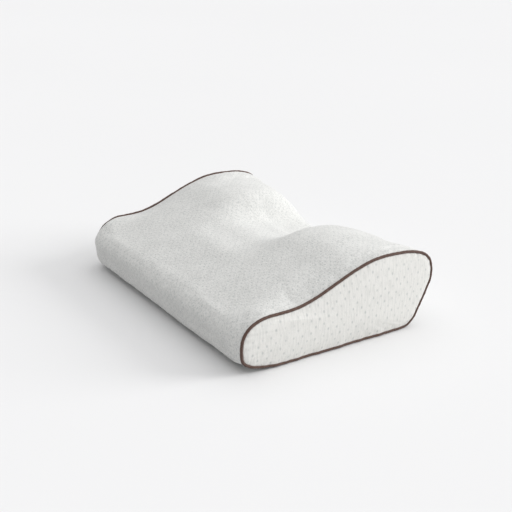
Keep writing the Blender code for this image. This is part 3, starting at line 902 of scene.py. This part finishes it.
@dataclass
class WrapPanel:
    """The long knit panel, open along the zip and turned in at both end seams."""

    shape: PillowShape
    slot_end: float = 0.1790
    slot_close: float = 0.0035
    edge: float = -0.0021
    turned_in: tuple[float, ...] = (0.0012, 0.0030, 0.0048)
    lip: tuple[float, ...] = (0.0, 0.0004, 0.001, 0.0018, 0.0026, 0.0030, 0.0034, 0.0042, 0.0054)
    rows: int = 270
    middle_columns: int = 35
    seam_columns: int = 16
    gather_height: float = 0.00022
    gather_start: float = 0.002
    gather_end: float = 0.009
    gather_phase: float = 1.3
    drape_height: float = 0.00028
    drape_span: Pair = (0.012, 0.032)
    hem_fold: float = 0.00025
    hem_span: Pair = (0.0050, 0.0032)
    hem_edge: float = 0.0005
    hem_edge_run: float = 0.0004
    groove: float = 0.00030
    groove_place: float = 0.0030
    groove_half: float = 0.0005
    held_at_seam: float = 0.003
    held_at_zip: float = 0.004
    held_on_floor: float = 0.004
    seam_hold: float = 0.006

    def stations(self) -> tuple[Array, Array]:
        """Places along X, close together near the seams, and the depth of each.

        The last three at each end turn down into the seam.
        """
        bend = self.shape.half_length - self.shape.crown_run
        last = self.shape.half_length + self.edge
        middle = straight(0.0, bend, self.middle_columns)
        near = bend + (last - bend) * (1 - (1 - np.linspace(0.0, 1.0, self.seam_columns)) ** 1.6)
        half = np.concatenate([middle, near, np.full(len(self.turned_in), last)])
        sunk = np.zeros(len(half))
        sunk[-len(self.turned_in):] = self.turned_in
        return np.concatenate([-half[:0:-1], half]), np.concatenate([sunk[:0:-1], sunk])

    def spans(self) -> Array:
        """Shares of the way round from one lip of the zip slot to the other."""
        lip = np.array(self.lip) / self.shape.girth
        even = np.linspace(lip[-1], 1 - lip[-1], self.rows)[1:-1]
        return np.concatenate([lip, even, 1 - lip[::-1]])

    def gathers(self, x: Array, s: Array) -> Array:
        """Height of the small puckers that stand across each end seam.

        Three sines in s, under an envelope that is nothing at the seam, full 5 mm from it and
        gone after 30 mm.
        """
        away = self.shape.half_length + self.edge - np.abs(x)
        envelope = (1 - np.exp(-away / self.gather_start)) * np.exp(-away / self.gather_end)
        phase = np.sign(x) * self.gather_phase
        wave = waves(TURN * s / self.shape.girth, (1.0, 38, phase), (0.7, 61, 2 * phase + 1.0),
                     (0.5, 17, -phase))
        return self.gather_height * envelope * wave

    def drape(self, x: Array, s: Array) -> Array:
        """Height of the broad, faint unevenness of knit over foam: a product of long waves."""
        turn = TURN * s / self.shape.girth
        wave = (np.sin(5 * turn + 26 * x) * np.cos(19 * x + 0.6)
                + 0.6 * np.sin(8 * turn - 41 * x + 2.0))
        return self.drape_height * ramp(self.shape.seam(s)[..., 1], *self.drape_span) * wave

    def hem(self, x: Array, lip: Array) -> Array:
        """Height of the folded lip of the zip slot: a fold, and a groove under its stitches."""
        along = ramp(np.abs(x), self.slot_end + 0.008, self.slot_end + 0.004)
        fold = self.hem_fold * ramp(lip, *self.hem_span)
        edge = self.hem_edge * np.exp(-lip / self.hem_edge_run)
        groove = self.groove * bell(lip, self.groove_place, self.groove_half)
        return along * (fold - edge - groove)

    def filled(self, x: Array, s: Array) -> Array:
        """How far the stuffed wrap stands off its form at the given places.

        A coarse copy, held at both seams, along the zip and where it lies on the floor, is
        filled by air; the way each point has gone along its normal is kept, and capped.
        """
        shape, air = self.shape, AirFilled()
        end = shape.half_length + self.edge
        coarse_x = np.linspace(-end, end, 90)
        coarse_s = np.linspace(SLOT_HALF, shape.girth - SLOT_HALF, 140)
        grid_x, grid_s = np.meshgrid(coarse_x, coarse_s, indexing="ij")
        form = shape.face(grid_x, grid_s, shape.swell(grid_x, grid_s))
        held = (np.abs(grid_x) > end - self.held_at_seam) | (form[..., 2] < self.held_on_floor)
        held |= np.minimum(grid_s, shape.girth - grid_s) < SLOT_HALF + self.held_at_zip
        way = air.settle(form, held)
        normal = shape.face(grid_x, grid_s, 1.0 + 0.0 * grid_x) - shape.surface(grid_x, grid_s)
        along = np.sum(way * normal, axis=-1)
        LOG.info("cloth moved %.2f to %.2f mm", along.min() * 1000, along.max() * 1000)
        most = np.where(along > 0.0, air.limit, air.sink)
        i, j = (np.interp(at, coarse, np.arange(len(coarse)))
                for at, coarse in ((x, coarse_x), (s, coarse_s)))
        return resample(most * np.tanh(along / most), i, j)

    def build(self, finish: Material) -> None:
        """Make the panel."""
        shape = self.shape
        stations, sunk = self.stations()
        share = self.spans()[None, :]
        open_half = SLOT_HALF * ramp(np.abs(stations), self.slot_end + self.slot_close,
                                     self.slot_end)[:, None]
        length = shape.girth - 2 * open_half
        s = open_half + share * length
        x = stations[:, None] + 0.0 * s
        lip = np.minimum(share, 1 - share) * length
        lift = (shape.swell(x, s) - sunk[:, None] + self.gathers(x, s) + self.drape(x, s)
                + self.hem(x, lip) + self.filled(x, s))
        points = shape.face(x, s, lift)
        near = np.exp(-(shape.half_length + self.edge - np.abs(x)) / self.seam_hold)
        points[..., 0] += np.sign(x) * shape.waver(s)[1] * near
        points[..., 2] = np.maximum(points[..., 2], 0.0)
        patch = Patch.grid(points, np.stack([s, x], axis=-1))
        Piece.of("cover_wrap", "knit", "wrap_knit").stuff(patch, finish, WRAP_THICKNESS,
                                                          merge=1e-6)


@dataclass
class EndPanel:
    """A domed knit panel that closes an end, inside the piping."""

    shape: PillowShape
    side: Side
    thickness: float = 0.0013
    inset: float = 0.0018
    level: float = 0.0070
    edge_rise: float = 0.0009
    dome_power: float = 2.4
    mean_radius: float = 0.075
    mean_way: float = 0.055
    creases: tuple[tuple[float, float, float], ...] = (
        (0.885, 0.030, 0.0007), (0.46, 0.034, 0.0006))
    crease_step: float = 0.0019
    crease_fade: float = 0.011
    faint: float = 0.00010
    faint_fade: float = 0.006
    columns: int = 300
    rings: int = 44

    def puckers(self, s: Array, away: Array) -> Array:
        """Creases that run in from the two tightest corners, and faint ones all round.

        Each crease is a sine in s under a bell round its corner, fading inwards. Its three
        numbers are the corner's share of the way round, the bell's width and its height.
        """
        girth = self.shape.girth
        total = self.faint * waves(TURN * s / girth, (1.0, 47, 1.0), (0.6, 71, 0.0))
        total = total * np.exp(-away / self.faint_fade)
        for corner, reach, size in self.creases:
            off = (np.mod(s / girth - corner + 0.5, 1.0) - 0.5) * girth
            crease = size * bell(off, 0.0, reach) * np.sin(off / self.crease_step)
            total = total + crease * np.exp(-away / self.crease_fade)
        return total

    def build(self, finish: Material) -> None:
        """Make the panel: rings set in from the seam line, then rings scaled about its middle.

        The face rises as 1 - scale ** dome_power, where scale is 1 at the seam and 0 at the tip.
        """
        shape, sign = self.shape, self.side.value
        s = straight(0.0, shape.girth, self.columns)[None, :]
        inset = np.linspace(self.inset, self.level, 6)[:, None] + 0.0 * s
        near = shape.seam_point(self.side, s + 0.0 * inset, 0.0 * inset, inset)
        centre = near[-1].mean(axis=0)
        share = 1 - straight(0.0, 1.0, self.rings)[1:]
        far = centre + (near[-1] - centre)[None] * share[:, None, None]
        rings = np.concatenate([near, far])
        edge_share = self.level / self.mean_radius
        scale = np.concatenate([np.linspace(1.0, 1 - edge_share, len(near)),
                                share * (1 - edge_share)])
        away = np.concatenate([inset[:, 0] - self.inset, self.level + (1 - share) * self.mean_way])
        full = PANEL_DOME + PANEL_RISE
        rise = self.edge_rise + (full - self.edge_rise) * (1 - scale ** self.dome_power)
        rise = rise[:, None] + self.puckers(s, away[:, None])
        base = sign * shape.half_length
        rings[..., 0] = base + (rings[..., 0] - base) * scale[:, None] ** 3 + sign * rise
        tip = np.array([sign * (shape.half_length + full), centre[1], centre[2]])
        patch = Patch.disc(rings, tip).flipped(self.side)
        patch.corners = patch.points[np.concatenate(patch.faces), 1:]
        piece = Piece.of("end_panel_" + self.side.word, "knit", "panel_knit")
        piece.stuff(patch, finish, self.thickness)


@dataclass
class Piping:
    """A bias strip folded round a filler cord, with its two plies held in the seam."""

    shape: PillowShape
    side: Side
    cord_radius: float = 0.0010
    cord_room: float = 0.0003
    cord_twists: int = 150
    lies_under: float = 0.004
    ply: float = 0.0004
    slit: float = 0.0002
    flange_out: float = -0.0010
    flange: float = 0.0047
    columns: int = 700

    def section(self) -> Array:
        """The strip's section, outwards and up: round, flange, bore and back to the flange."""
        bore = self.cord_radius + self.cord_room
        outer, inner = self.slit / 2 + self.ply, self.slit / 2
        lean = math.atan2(-PIPING_RADIUS, self.flange_out)
        turn = math.asin(outer / PIPING_RADIUS) + 0.05
        inner_turn = math.asin(inner / bore) + 0.05
        arc = circle(np.linspace(lean + turn, lean + TURN - turn, 19)) * PIPING_RADIUS
        bore_arc = circle(np.linspace(lean + TURN - inner_turn, lean + inner_turn, 9)) * bore
        middle, tip = self.flange_out, -self.flange
        return np.vstack([[middle + outer, tip], arc, [middle - outer, tip],
                          [middle - inner, tip], bore_arc, [middle + inner, tip]])

    def build(self, strip: Material, filler: Material) -> None:
        """Make the strip, a little uneven along its way, and its twisted cord."""
        shape, section = self.shape, self.section()
        s = straight(0.0, shape.girth, self.columns)
        turn = TURN * s / shape.girth
        fat = 1 + waves(turn, (0.030, 83, 0.0), (0.020, 131, 1.0))
        fat = np.where(shape.seam(s)[..., 1] < self.lies_under, np.minimum(fat, 1.0), fat)
        at_round = np.linalg.norm(section, axis=1) < PIPING_RADIUS * 1.05
        size = np.where(at_round[:, None], fat, 1.0)
        points = shape.seam_point(self.side, s + 0.0 * size, section[:, :1] * size,
                                  -section[:, 1:] * size)
        lengths = np.linalg.norm(np.diff(np.vstack([section, section[:1]]), axis=0), axis=1)
        around = np.concatenate([[0.0], np.cumsum(lengths)])
        fabric = np.stack(np.meshgrid(around, np.append(s, shape.girth), indexing="ij"), -1)
        angle = straight(0.0, TURN, 12)[:, None]
        strands = np.abs(np.cos(1.5 * self.cord_twists * turn))
        size = self.cord_radius * (0.86 + 0.13 * strands) + 0.0 * angle
        cord = shape.seam_point(self.side, s + 0.0 * size, np.cos(angle) * size,
                                -np.sin(angle) * size)
        for node, word, slot, rings, cloth, finish in (
                ("piping_", "strip", "piping_twill", points, fabric[..., ::-1], strip),
                ("piping_cord_", "filler", "piping_filler", cord, None, filler)):
            patch = Patch.grid(rings, cloth, round_first=True, round_second=True)
            Piece.of(node + self.side.word, word, slot).make(patch, finish, outwards=True)


# --- Inside the cover ---


@dataclass
class Filling:
    """The moulded foam core and the thin sewn liner round it."""

    shape: PillowShape
    liner_depth: float = 0.0018
    liner_thickness: float = 0.0007
    liner_end: float = -0.0041
    liner_overlap: float = 0.0008
    liner_shrink: float = 0.985
    foam_depth: float = 0.0029
    foam_end: float = -0.0056
    dome: float = 0.0095
    relief: float = 0.0022
    relief_half: float = 0.0165
    columns: int = 200
    stations: int = 90
    cap_rings: int = 16

    def skin(self, depth: float, end: float) -> Array:
        """Rings of the surface at a depth below the cover's face, hollowed behind the zip."""
        shape = self.shape
        x = np.linspace(-1.0, 1.0, self.stations)[:, None] * (shape.half_length + end)
        s = straight(0.0, shape.girth, self.columns)[None, :]
        behind = bell(np.minimum(s, shape.girth - s), 0.0, self.relief_half, 6)
        x, s = x + 0.0 * s, s + 0.0 * x
        return shape.face(x, s, shape.swell(x, s) - depth - self.relief * behind)

    def cap(self, side: Side, ring: Array, out: float) -> Array:
        """Rings from an end ring to its middle, domed as 1 - share squared; the tip is last."""
        centre = ring.mean(axis=0)
        share = np.linspace(1.0, 0.0, self.cap_rings)[1:, None, None]
        rings = centre + (ring - centre)[None] * share
        base = side.value * (self.shape.half_length + out)
        rings[..., 0] = base + side.value * self.dome * (1 - share[..., 0] ** 2)
        return rings

    def build(self, foam: Material, jersey: Material) -> None:
        """Make the foam core and the liner's three panels."""
        body = self.skin(self.foam_depth, self.foam_end)
        left, right = (self.cap(side, body[end], self.foam_end)
                       for side, end in ((Side.LEFT, 0), (Side.RIGHT, -1)))
        rings = np.concatenate([left[:-1][::-1], body, right[:-1]])
        patch = Patch.disc(rings, right[-1, 0], left[-1, 0])
        Piece.of("foam_core", "moulded", "memory_foam").stuff(patch, foam, outwards=True)
        tube = self.skin(self.liner_depth, self.liner_end - self.liner_overlap)
        Piece.of("liner_wrap", "jersey", "liner_jersey").stuff(
            Patch.grid(tube, round_second=True), jersey, self.liner_thickness)
        for side, ring in ((Side.LEFT, tube[0]), (Side.RIGHT, tube[-1])):
            middle = ring.mean(axis=0)
            edge = middle + (ring - middle) * self.liner_shrink
            edge[:, 0] = side.value * (self.shape.half_length + self.liner_end)
            rings = np.concatenate([edge[None], self.cap(side, edge, self.liner_end)])
            patch = Patch.disc(rings[:-1], rings[-1, 0]).flipped(side)
            Piece.of("liner_end_" + side.word, "jersey", "liner_jersey").stuff(
                patch, jersey, self.liner_thickness)


# --- The zip ---


def rounded_box(half_a: float, half_b: float, round_off: float, steps: int = 4) -> Array:
    """A closed rounded rectangle of two half sizes and a corner radius."""
    corners = []
    for sign_a, sign_b, start in ((1, 1, 0), (-1, 1, 90), (-1, -1, 180), (1, -1, 270)):
        centre = np.array([sign_a * (half_a - round_off), sign_b * (half_b - round_off)])
        corners.append(centre + round_off * circle(np.radians(start + np.linspace(0, 90, steps))))
    return np.vstack(corners)


@dataclass
class Zip:
    """Coil zip in the leaning flat of the back: tapes, coils, stops, stitches, slider, pull."""

    shape: PillowShape
    length: float = 0.360
    gap: float = 0.0003
    tape_past: float = 0.006
    tape_width: float = 0.0120
    tape_thickness: float = 0.0005
    tape_gap: float = 0.0006
    coil_inner: float = 0.00045
    coil_outer: float = 0.0032
    coil_height: float = 0.0018
    coil_pitch: float = 0.00135
    coil_steps: int = 9
    wire: float = 0.00032
    stop: float = 0.0022
    stop_round: float = 0.0005
    stop_bevel: float = 0.0003
    stitch_length: float = 0.0023
    stitch_spacing: float = 0.0030
    stitch_sag: float = 0.00022
    stitch_in: float = 0.0030
    thread_radius: float = 0.00026
    tack_half: float = 0.0045
    tack_past: float = 0.0050
    tack_rise: float = 0.0001
    stitches_end: float = 0.002
    slider_length: float = 0.0100
    slider_half: float = 0.0042
    slider_waist: float = 0.14
    plate: float = 0.0010
    sunk: float = 0.0004
    bridge: tuple[float, float, float] = (0.0008, 0.0003, 0.00015)
    bridge_in: float = 0.0014
    flange: tuple[float, float, float] = (0.0040, 0.0002, 0.0001)
    flange_in: float = 0.00036
    bail_half: float = 0.0026
    bail_section: tuple[float, float, float] = (0.0009, 0.0004, 0.0003)
    bail_sunk: float = 0.0003
    cast_bevel: float = 0.00018
    pin_radius: float = 0.0005
    pin_play: float = 0.0002
    pull_length: float = 0.0210
    pull_half: float = 0.0030
    pull_thickness: float = 0.0008
    ring_half: float = 0.0026
    ring_middle: float = 0.0021
    ring_wire: float = 0.00046
    tab_start: float = 0.0045
    tab_tip: Pair = (0.0030, 0.0026)
    tab_taper: float = 0.0006
    rim_share: Pair = (0.80, 0.62)
    label_width: float = 0.018
    label_depth: float = 0.0022
    label_thickness: float = 0.0003

    def place(self, points: Array) -> Array:
        """Points along, down and out of the zip, in the pillow's frame."""
        top, foot, up = self.shape.slant()
        out = np.array([up[1], -up[0]])
        middle = (top + foot) / 2 + out * SWELL
        flat = middle - up * points[..., 1:2] + out * points[..., 2:3]
        return np.concatenate([points[..., :1], flat], axis=-1)

    def put(self, piece: Piece, patch: Patch, finish: Material, bevel: float = 0.0,
            capped: bool = False) -> None:
        """Place a patch that was made along, down and out of the zip, and round its edges."""
        patch.points = self.place(patch.points)
        made = piece.make(patch, finish, outwards=True, capped=capped)
        if bevel:
            rounding = made.modifiers.new("rounded edges", "BEVEL")
            rounding.width = bevel
            rounding.segments = 2
            rounding.limit_method = "ANGLE"
            rounding.angle_limit = math.radians(40)

    @property
    def tape_top(self) -> float:
        """Height of the tape's outer face over the cover's."""
        return -WRAP_THICKNESS - self.gap

    @property
    def coil_low(self) -> float:
        """Height of the underside of the coils."""
        return self.tape_top + self.gap

    @property
    def plate_low(self) -> float:
        """Height of the underside of the slider's top plate."""
        return self.coil_low + self.coil_height + self.gap

    @property
    def slider_x(self) -> float:
        """Place of the slider's middle when the zip is closed."""
        return -self.length / 2 + self.stop + 3 * self.gap + self.slider_length / 2

    def tape(self, sign: int, word: str, finish: Material) -> None:
        """A woven tape with a rounded selvedge, as a section carried along the zip."""
        half = self.length / 2 + self.tape_past
        x = np.linspace(-half, half, 120)[:, None]
        section = rounded_box(self.tape_width / 2, self.tape_thickness / 2, 0.0002, 3)
        across = sign * (self.tape_gap + self.tape_width / 2) + section[:, 0]
        height = self.tape_top - self.tape_thickness / 2 + section[:, 1]
        grid = np.stack(np.broadcast_arrays(x, across, height), axis=-1)
        fabric = np.stack(np.broadcast_arrays(x, np.append(across, across[0])), axis=-1)
        self.put(Piece.of("zip_tape_" + word, "woven", "zip_tape"),
                 Patch.grid(grid, fabric, round_second=True), finish, capped=True)

    def coil(self, sign: int, word: str, finish: Material) -> None:
        """A flattened helix of filament: ellipse times turn, and pitch along the zip."""
        half = self.length / 2 - self.stop - 2 * self.gap - self.wire
        turns = int(2 * half / self.coil_pitch)
        angle = np.linspace(0.0, TURN * turns, turns * self.coil_steps + 1)
        wide = sign * ((self.coil_outer - self.coil_inner) / 2 - self.wire)
        tall = self.coil_height / 2 - self.wire
        round_it = circle(angle + (0 if sign > 0 else np.pi)) * (wide, tall)
        middle = (sign * (self.coil_outer + self.coil_inner) / 2,
                  self.coil_low + self.coil_height / 2)
        path = np.column_stack([np.linspace(-half, half, len(angle)), round_it + middle])
        along = unit(np.gradient(path, axis=0))
        first = unit(np.cross(along, np.cross((1.0, 0.0, 0.0), along)))
        section = circle(straight(0.0, TURN, 5)) * self.wire
        patch = Patch.tube(path, first, np.cross(along, first), section)
        self.put(Piece.of("zip_coil_" + word, "nylon", "zip_coil"), patch, finish)

    def stops(self, metal: Material) -> None:
        """Pinched metal stops: one on each tape where it closes, one across where it opens."""
        end = self.length / 2 - self.gap - self.stop / 2
        middle = (self.coil_inner + self.coil_outer) / 2
        single = rounded_box(self.stop / 2, (self.coil_outer - self.coil_inner) / 2,
                             self.stop_round)
        stops = [("top_stop_" + word, single + (-end, sign * middle)) for sign, word in ZIP_SIDES]
        wide = rounded_box(self.stop / 2, self.coil_outer, self.stop_round * 1.2)
        for name, outline in [*stops, ("bottom_stop", wide + (end, 0.0))]:
            patch = Patch.prism(outline, self.coil_low, self.coil_low + self.coil_height)
            self.put(Piece.of("zip_" + name, "metal", "zip_metal"), patch, metal,
                     self.stop_bevel)

    def stitches(self, thread: Material) -> None:
        """Lockstitches along both lips and a bar tack across each end of the slot."""
        reach = self.length / 2 - self.stitches_end
        middles = np.arange(-reach, reach, self.stitch_spacing) + self.stitch_spacing / 2
        spots = [(x, sign * (SLOT_HALF + self.stitch_in), -self.tack_rise)
                 for sign in (-1, 1) for x in middles]
        spots += [(end * (self.length / 2 + self.tack_past), down, self.tack_rise)
                  for end in (-1, 1) for down in np.linspace(-self.tack_half, self.tack_half, 9)]
        section = circle(straight(0.0, TURN, 6)) * self.thread_radius
        share = np.linspace(-1.0, 1.0, 5)
        plump = np.sqrt(np.clip(1.03 - share ** 2, 0.0, 1.0))[:, None]
        patches = []
        for x, down, height in spots:
            path = np.column_stack([x + share * self.stitch_length / 2, np.full(5, down),
                                    self.stitch_sag * (1 - share ** 2) + height])
            patches.append(Patch.tube(path, plump * (0.0, 1.0, 0.0), plump * (0.0, 0.0, 1.0),
                                      section))
        self.put(Piece("zip_topstitch", "zip_tape"), Patch.together(patches), thread)

    def slider(self, metal: Material) -> None:
        """The slider: two waisted plates, side flanges, a bridge and an arched bail."""
        x0, half, wide, sunk = self.slider_x, self.slider_length / 2, self.slider_half, self.sunk
        oval = blunt(circle(straight(0.0, TURN, 40)), 0.45) * (half, wide)
        oval[:, 1] *= 1.0 - self.slider_waist * ramp(oval[:, 0], -half, half)
        oval[:, 0] += x0
        low, high = self.plate_low, self.plate_low + self.plate
        under = self.tape_top - self.tape_thickness - self.gap
        bridge = rounded_box(*self.bridge) + (x0 - half + self.bridge_in, 0.0)
        patches = [Patch.prism(oval, low, high), Patch.prism(oval, under - self.plate, under),
                   Patch.prism(bridge, under - sunk, low + sunk)]
        for sign in (-1, 1):
            rim = rounded_box(*self.flange) + (x0 - sunk, sign * (wide - self.flange_in))
            patches.append(Patch.prism(rim, low - self.coil_height * 0.8, low + sunk))
        rise = 2 * (self.pin_play + self.pin_radius) + self.bail_section[1]
        arch = blunt(circle(np.linspace(0.0, np.pi, 15)), 0.6)
        reach = self.bail_half - self.bail_section[1]
        path = np.column_stack([x0 - reach * arch[:, 0], np.zeros(15),
                                high - self.bail_sunk + (rise + self.bail_sunk) * arch[:, 1]])
        side = np.tile([0.0, 1.0, 0.0], (15, 1))
        up = np.cross(unit(np.gradient(path, axis=0)), side)
        patches.append(Patch.tube(path, side, up, rounded_box(*self.bail_section)))
        piece = Piece.of("zip_slider", "cast", "zip_metal", "slider")
        self.put(piece, Patch.together(patches), metal, self.cast_bevel)

    def pull(self, metal: Material) -> None:
        """The pull: a ring through the bail, and a tapered tab with a raised rim."""
        x0, half = self.slider_x, self.pull_thickness / 2
        height = self.plate_low + self.plate + self.pin_play + self.pin_radius
        loop = rounded_box(self.ring_half, self.pull_half - 0.00048, 0.0009, 6)
        loop = loop + (x0 + self.ring_middle, 0.0)
        path = np.column_stack([loop, np.full(len(loop), height)])
        ahead = unit(np.roll(path, -1, axis=0) - np.roll(path, 1, axis=0))
        up = np.tile([0.0, 0.0, 1.0], (len(path), 1))
        ring = Patch.tube(path, np.cross(up, ahead), up,
                          rounded_box(self.ring_wire, half, 0.0003, 3), closed=True)
        start, end = x0 + self.tab_start, x0 + self.pull_length - self.tab_tip[0]
        tip = circle(np.linspace(-np.pi / 2, np.pi / 2, 17)) * self.tab_tip + (end, 0.0)
        wide = self.pull_half - self.tab_taper
        tab = np.vstack([[start, -wide], tip, [start, wide]])
        middle = tab.mean(axis=0)
        inner = middle + (tab - middle) * self.rim_share
        patches = [ring, Patch.prism(tab, height - half, height + half * 0.55),
                   Patch.prism(inner, height + half * 0.3, height + half)]
        piece = Piece.of("zip_pull", "cast", "zip_metal", "pull")
        self.put(piece, Patch.together(patches), metal, self.cast_bevel)

    def label(self, satin: Material) -> None:
        """A blank folded label behind the cover, past the open end of the zip."""
        low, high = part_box("care_label")
        outline = rounded_box((high.x - low.x) / 2, self.label_width / 2, 0.0006)
        deep = -WRAP_THICKNESS - self.label_depth
        patch = Patch.prism(outline + ((low.x + high.x) / 2, 0.0), deep,
                            deep + self.label_thickness)
        self.put(Piece.of("care_label", "blank", "label_satin"), patch, satin, 0.00008)

    def build(self) -> None:
        """Make every piece of the zip."""
        tape, coil, metal = WovenTape().build(), NylonCoil().build(), PlatedZinc().build()
        thread, satin = THREAD.build(), SATIN.build()
        for sign, word in ZIP_SIDES:
            self.tape(sign, word, tape)
            self.coil(sign, word, coil)
        self.stops(metal)
        self.stitches(thread)
        self.slider(metal)
        self.pull(metal)
        self.label(satin)


# --- The studio ---


def into_scene(name: str, data: bpy.types.ID, turn: Vector | None = None,
               axis: str = "Z") -> bpy.types.Object:
    """Put an object into the scene, with one of its axes turned to a direction if given."""
    made = bpy.data.objects.new(name, data)
    if turn:
        made.rotation_mode = "QUATERNION"
        made.rotation_quaternion = turn.to_track_quat(axis, "Y")
    bpy.context.scene.collection.objects.link(made)
    return made


@dataclass
class Studio:
    """Pale floor, soft light from behind and to the right, and the camera."""

    lens: float = 71.4
    camera_place: tuple[float, float, float] = (1.1556, -0.7296, 0.5911)
    camera_aim: tuple[float, float, float] = (-0.0285, 0.0282, 0.04)
    floor_half: float = 14.0
    floor_height: float = -0.0003
    sky: float = 0.43
    key_power: float = 2.05
    key_direction: tuple[float, float, float] = (0.43, 0.81, 0.32)
    key_spread: float = 30.0
    top_power: float = 1.65
    top_direction: tuple[float, float, float] = (0.0, 0.25, 0.97)
    top_spread: float = 100.0

    def floor(self) -> None:
        """A pale seamless floor just under the pillow."""
        f = Finish("pale_floor", 0.9, Specular_IOR_Level=0.1)
        f.colour(f.noise(f.object_mm(900.0), 1.0), "#e8e8e8", "#e6e6e6")
        mesh = bpy.data.meshes.new("floor")
        corners = [(a * self.floor_half, b * self.floor_half, self.floor_height)
                   for a, b in ((-1, -1), (1, -1), (1, 1), (-1, 1))]
        mesh.from_pydata(corners, [], [(0, 1, 2, 3)])
        mesh.materials.append(f.material)
        into_scene("floor", mesh)

    def light(self) -> None:
        """An even pale surround, a soft overhead light and a low key light from behind."""
        world = bpy.data.worlds.new("studio")
        world.use_nodes = True
        surround = world.node_tree.nodes["Background"]
        surround.inputs["Color"].default_value = linear("#fdfdff")
        surround.inputs["Strength"].default_value = self.sky
        bpy.context.scene.world = world
        for name, power, direction, spread in (
                ("key", self.key_power, self.key_direction, self.key_spread),
                ("overhead", self.top_power, self.top_direction, self.top_spread)):
            lamp = bpy.data.lights.new(name, "SUN")
            lamp.energy = power
            lamp.angle = math.radians(spread)
            into_scene(name, lamp, Vector(direction))

    def camera(self) -> None:
        """A long lens, looking down at the near corner."""
        lens = bpy.data.cameras.new("camera")
        lens.lens = self.lens
        lens.sensor_width = 36.0
        lens.clip_end = 100.0
        place = Vector(self.camera_place)
        made = into_scene("camera", lens, Vector(self.camera_aim) - place, "-Z")
        made.location = place
        bpy.context.scene.camera = made

    def build(self) -> None:
        """Set the stage."""
        bpy.context.scene.view_settings.view_transform = "Standard"
        self.floor()
        self.light()
        self.camera()


def main() -> None:
    """Set the studio, then build the pillow from the cover inwards."""
    logging.basicConfig(level=logging.INFO, format="%(message)s")
    Studio().build()
    shape = PillowShape.from_frame()
    LOG.info("seam line %.1f mm round", shape.girth * 1000)
    WrapPanel(shape).build(WrapKnit().build())
    panel_knit, twill, filler = PanelKnit().build(), BiasTwill().build(), FILLER.build()
    for side in Side:
        EndPanel(shape, side).build(panel_knit)
        Piping(shape, side).build(twill, filler)
    Filling(shape).build(FOAM.build(), LINER.build())
    Zip(shape).build()


if __name__ == "__main__":
    main()
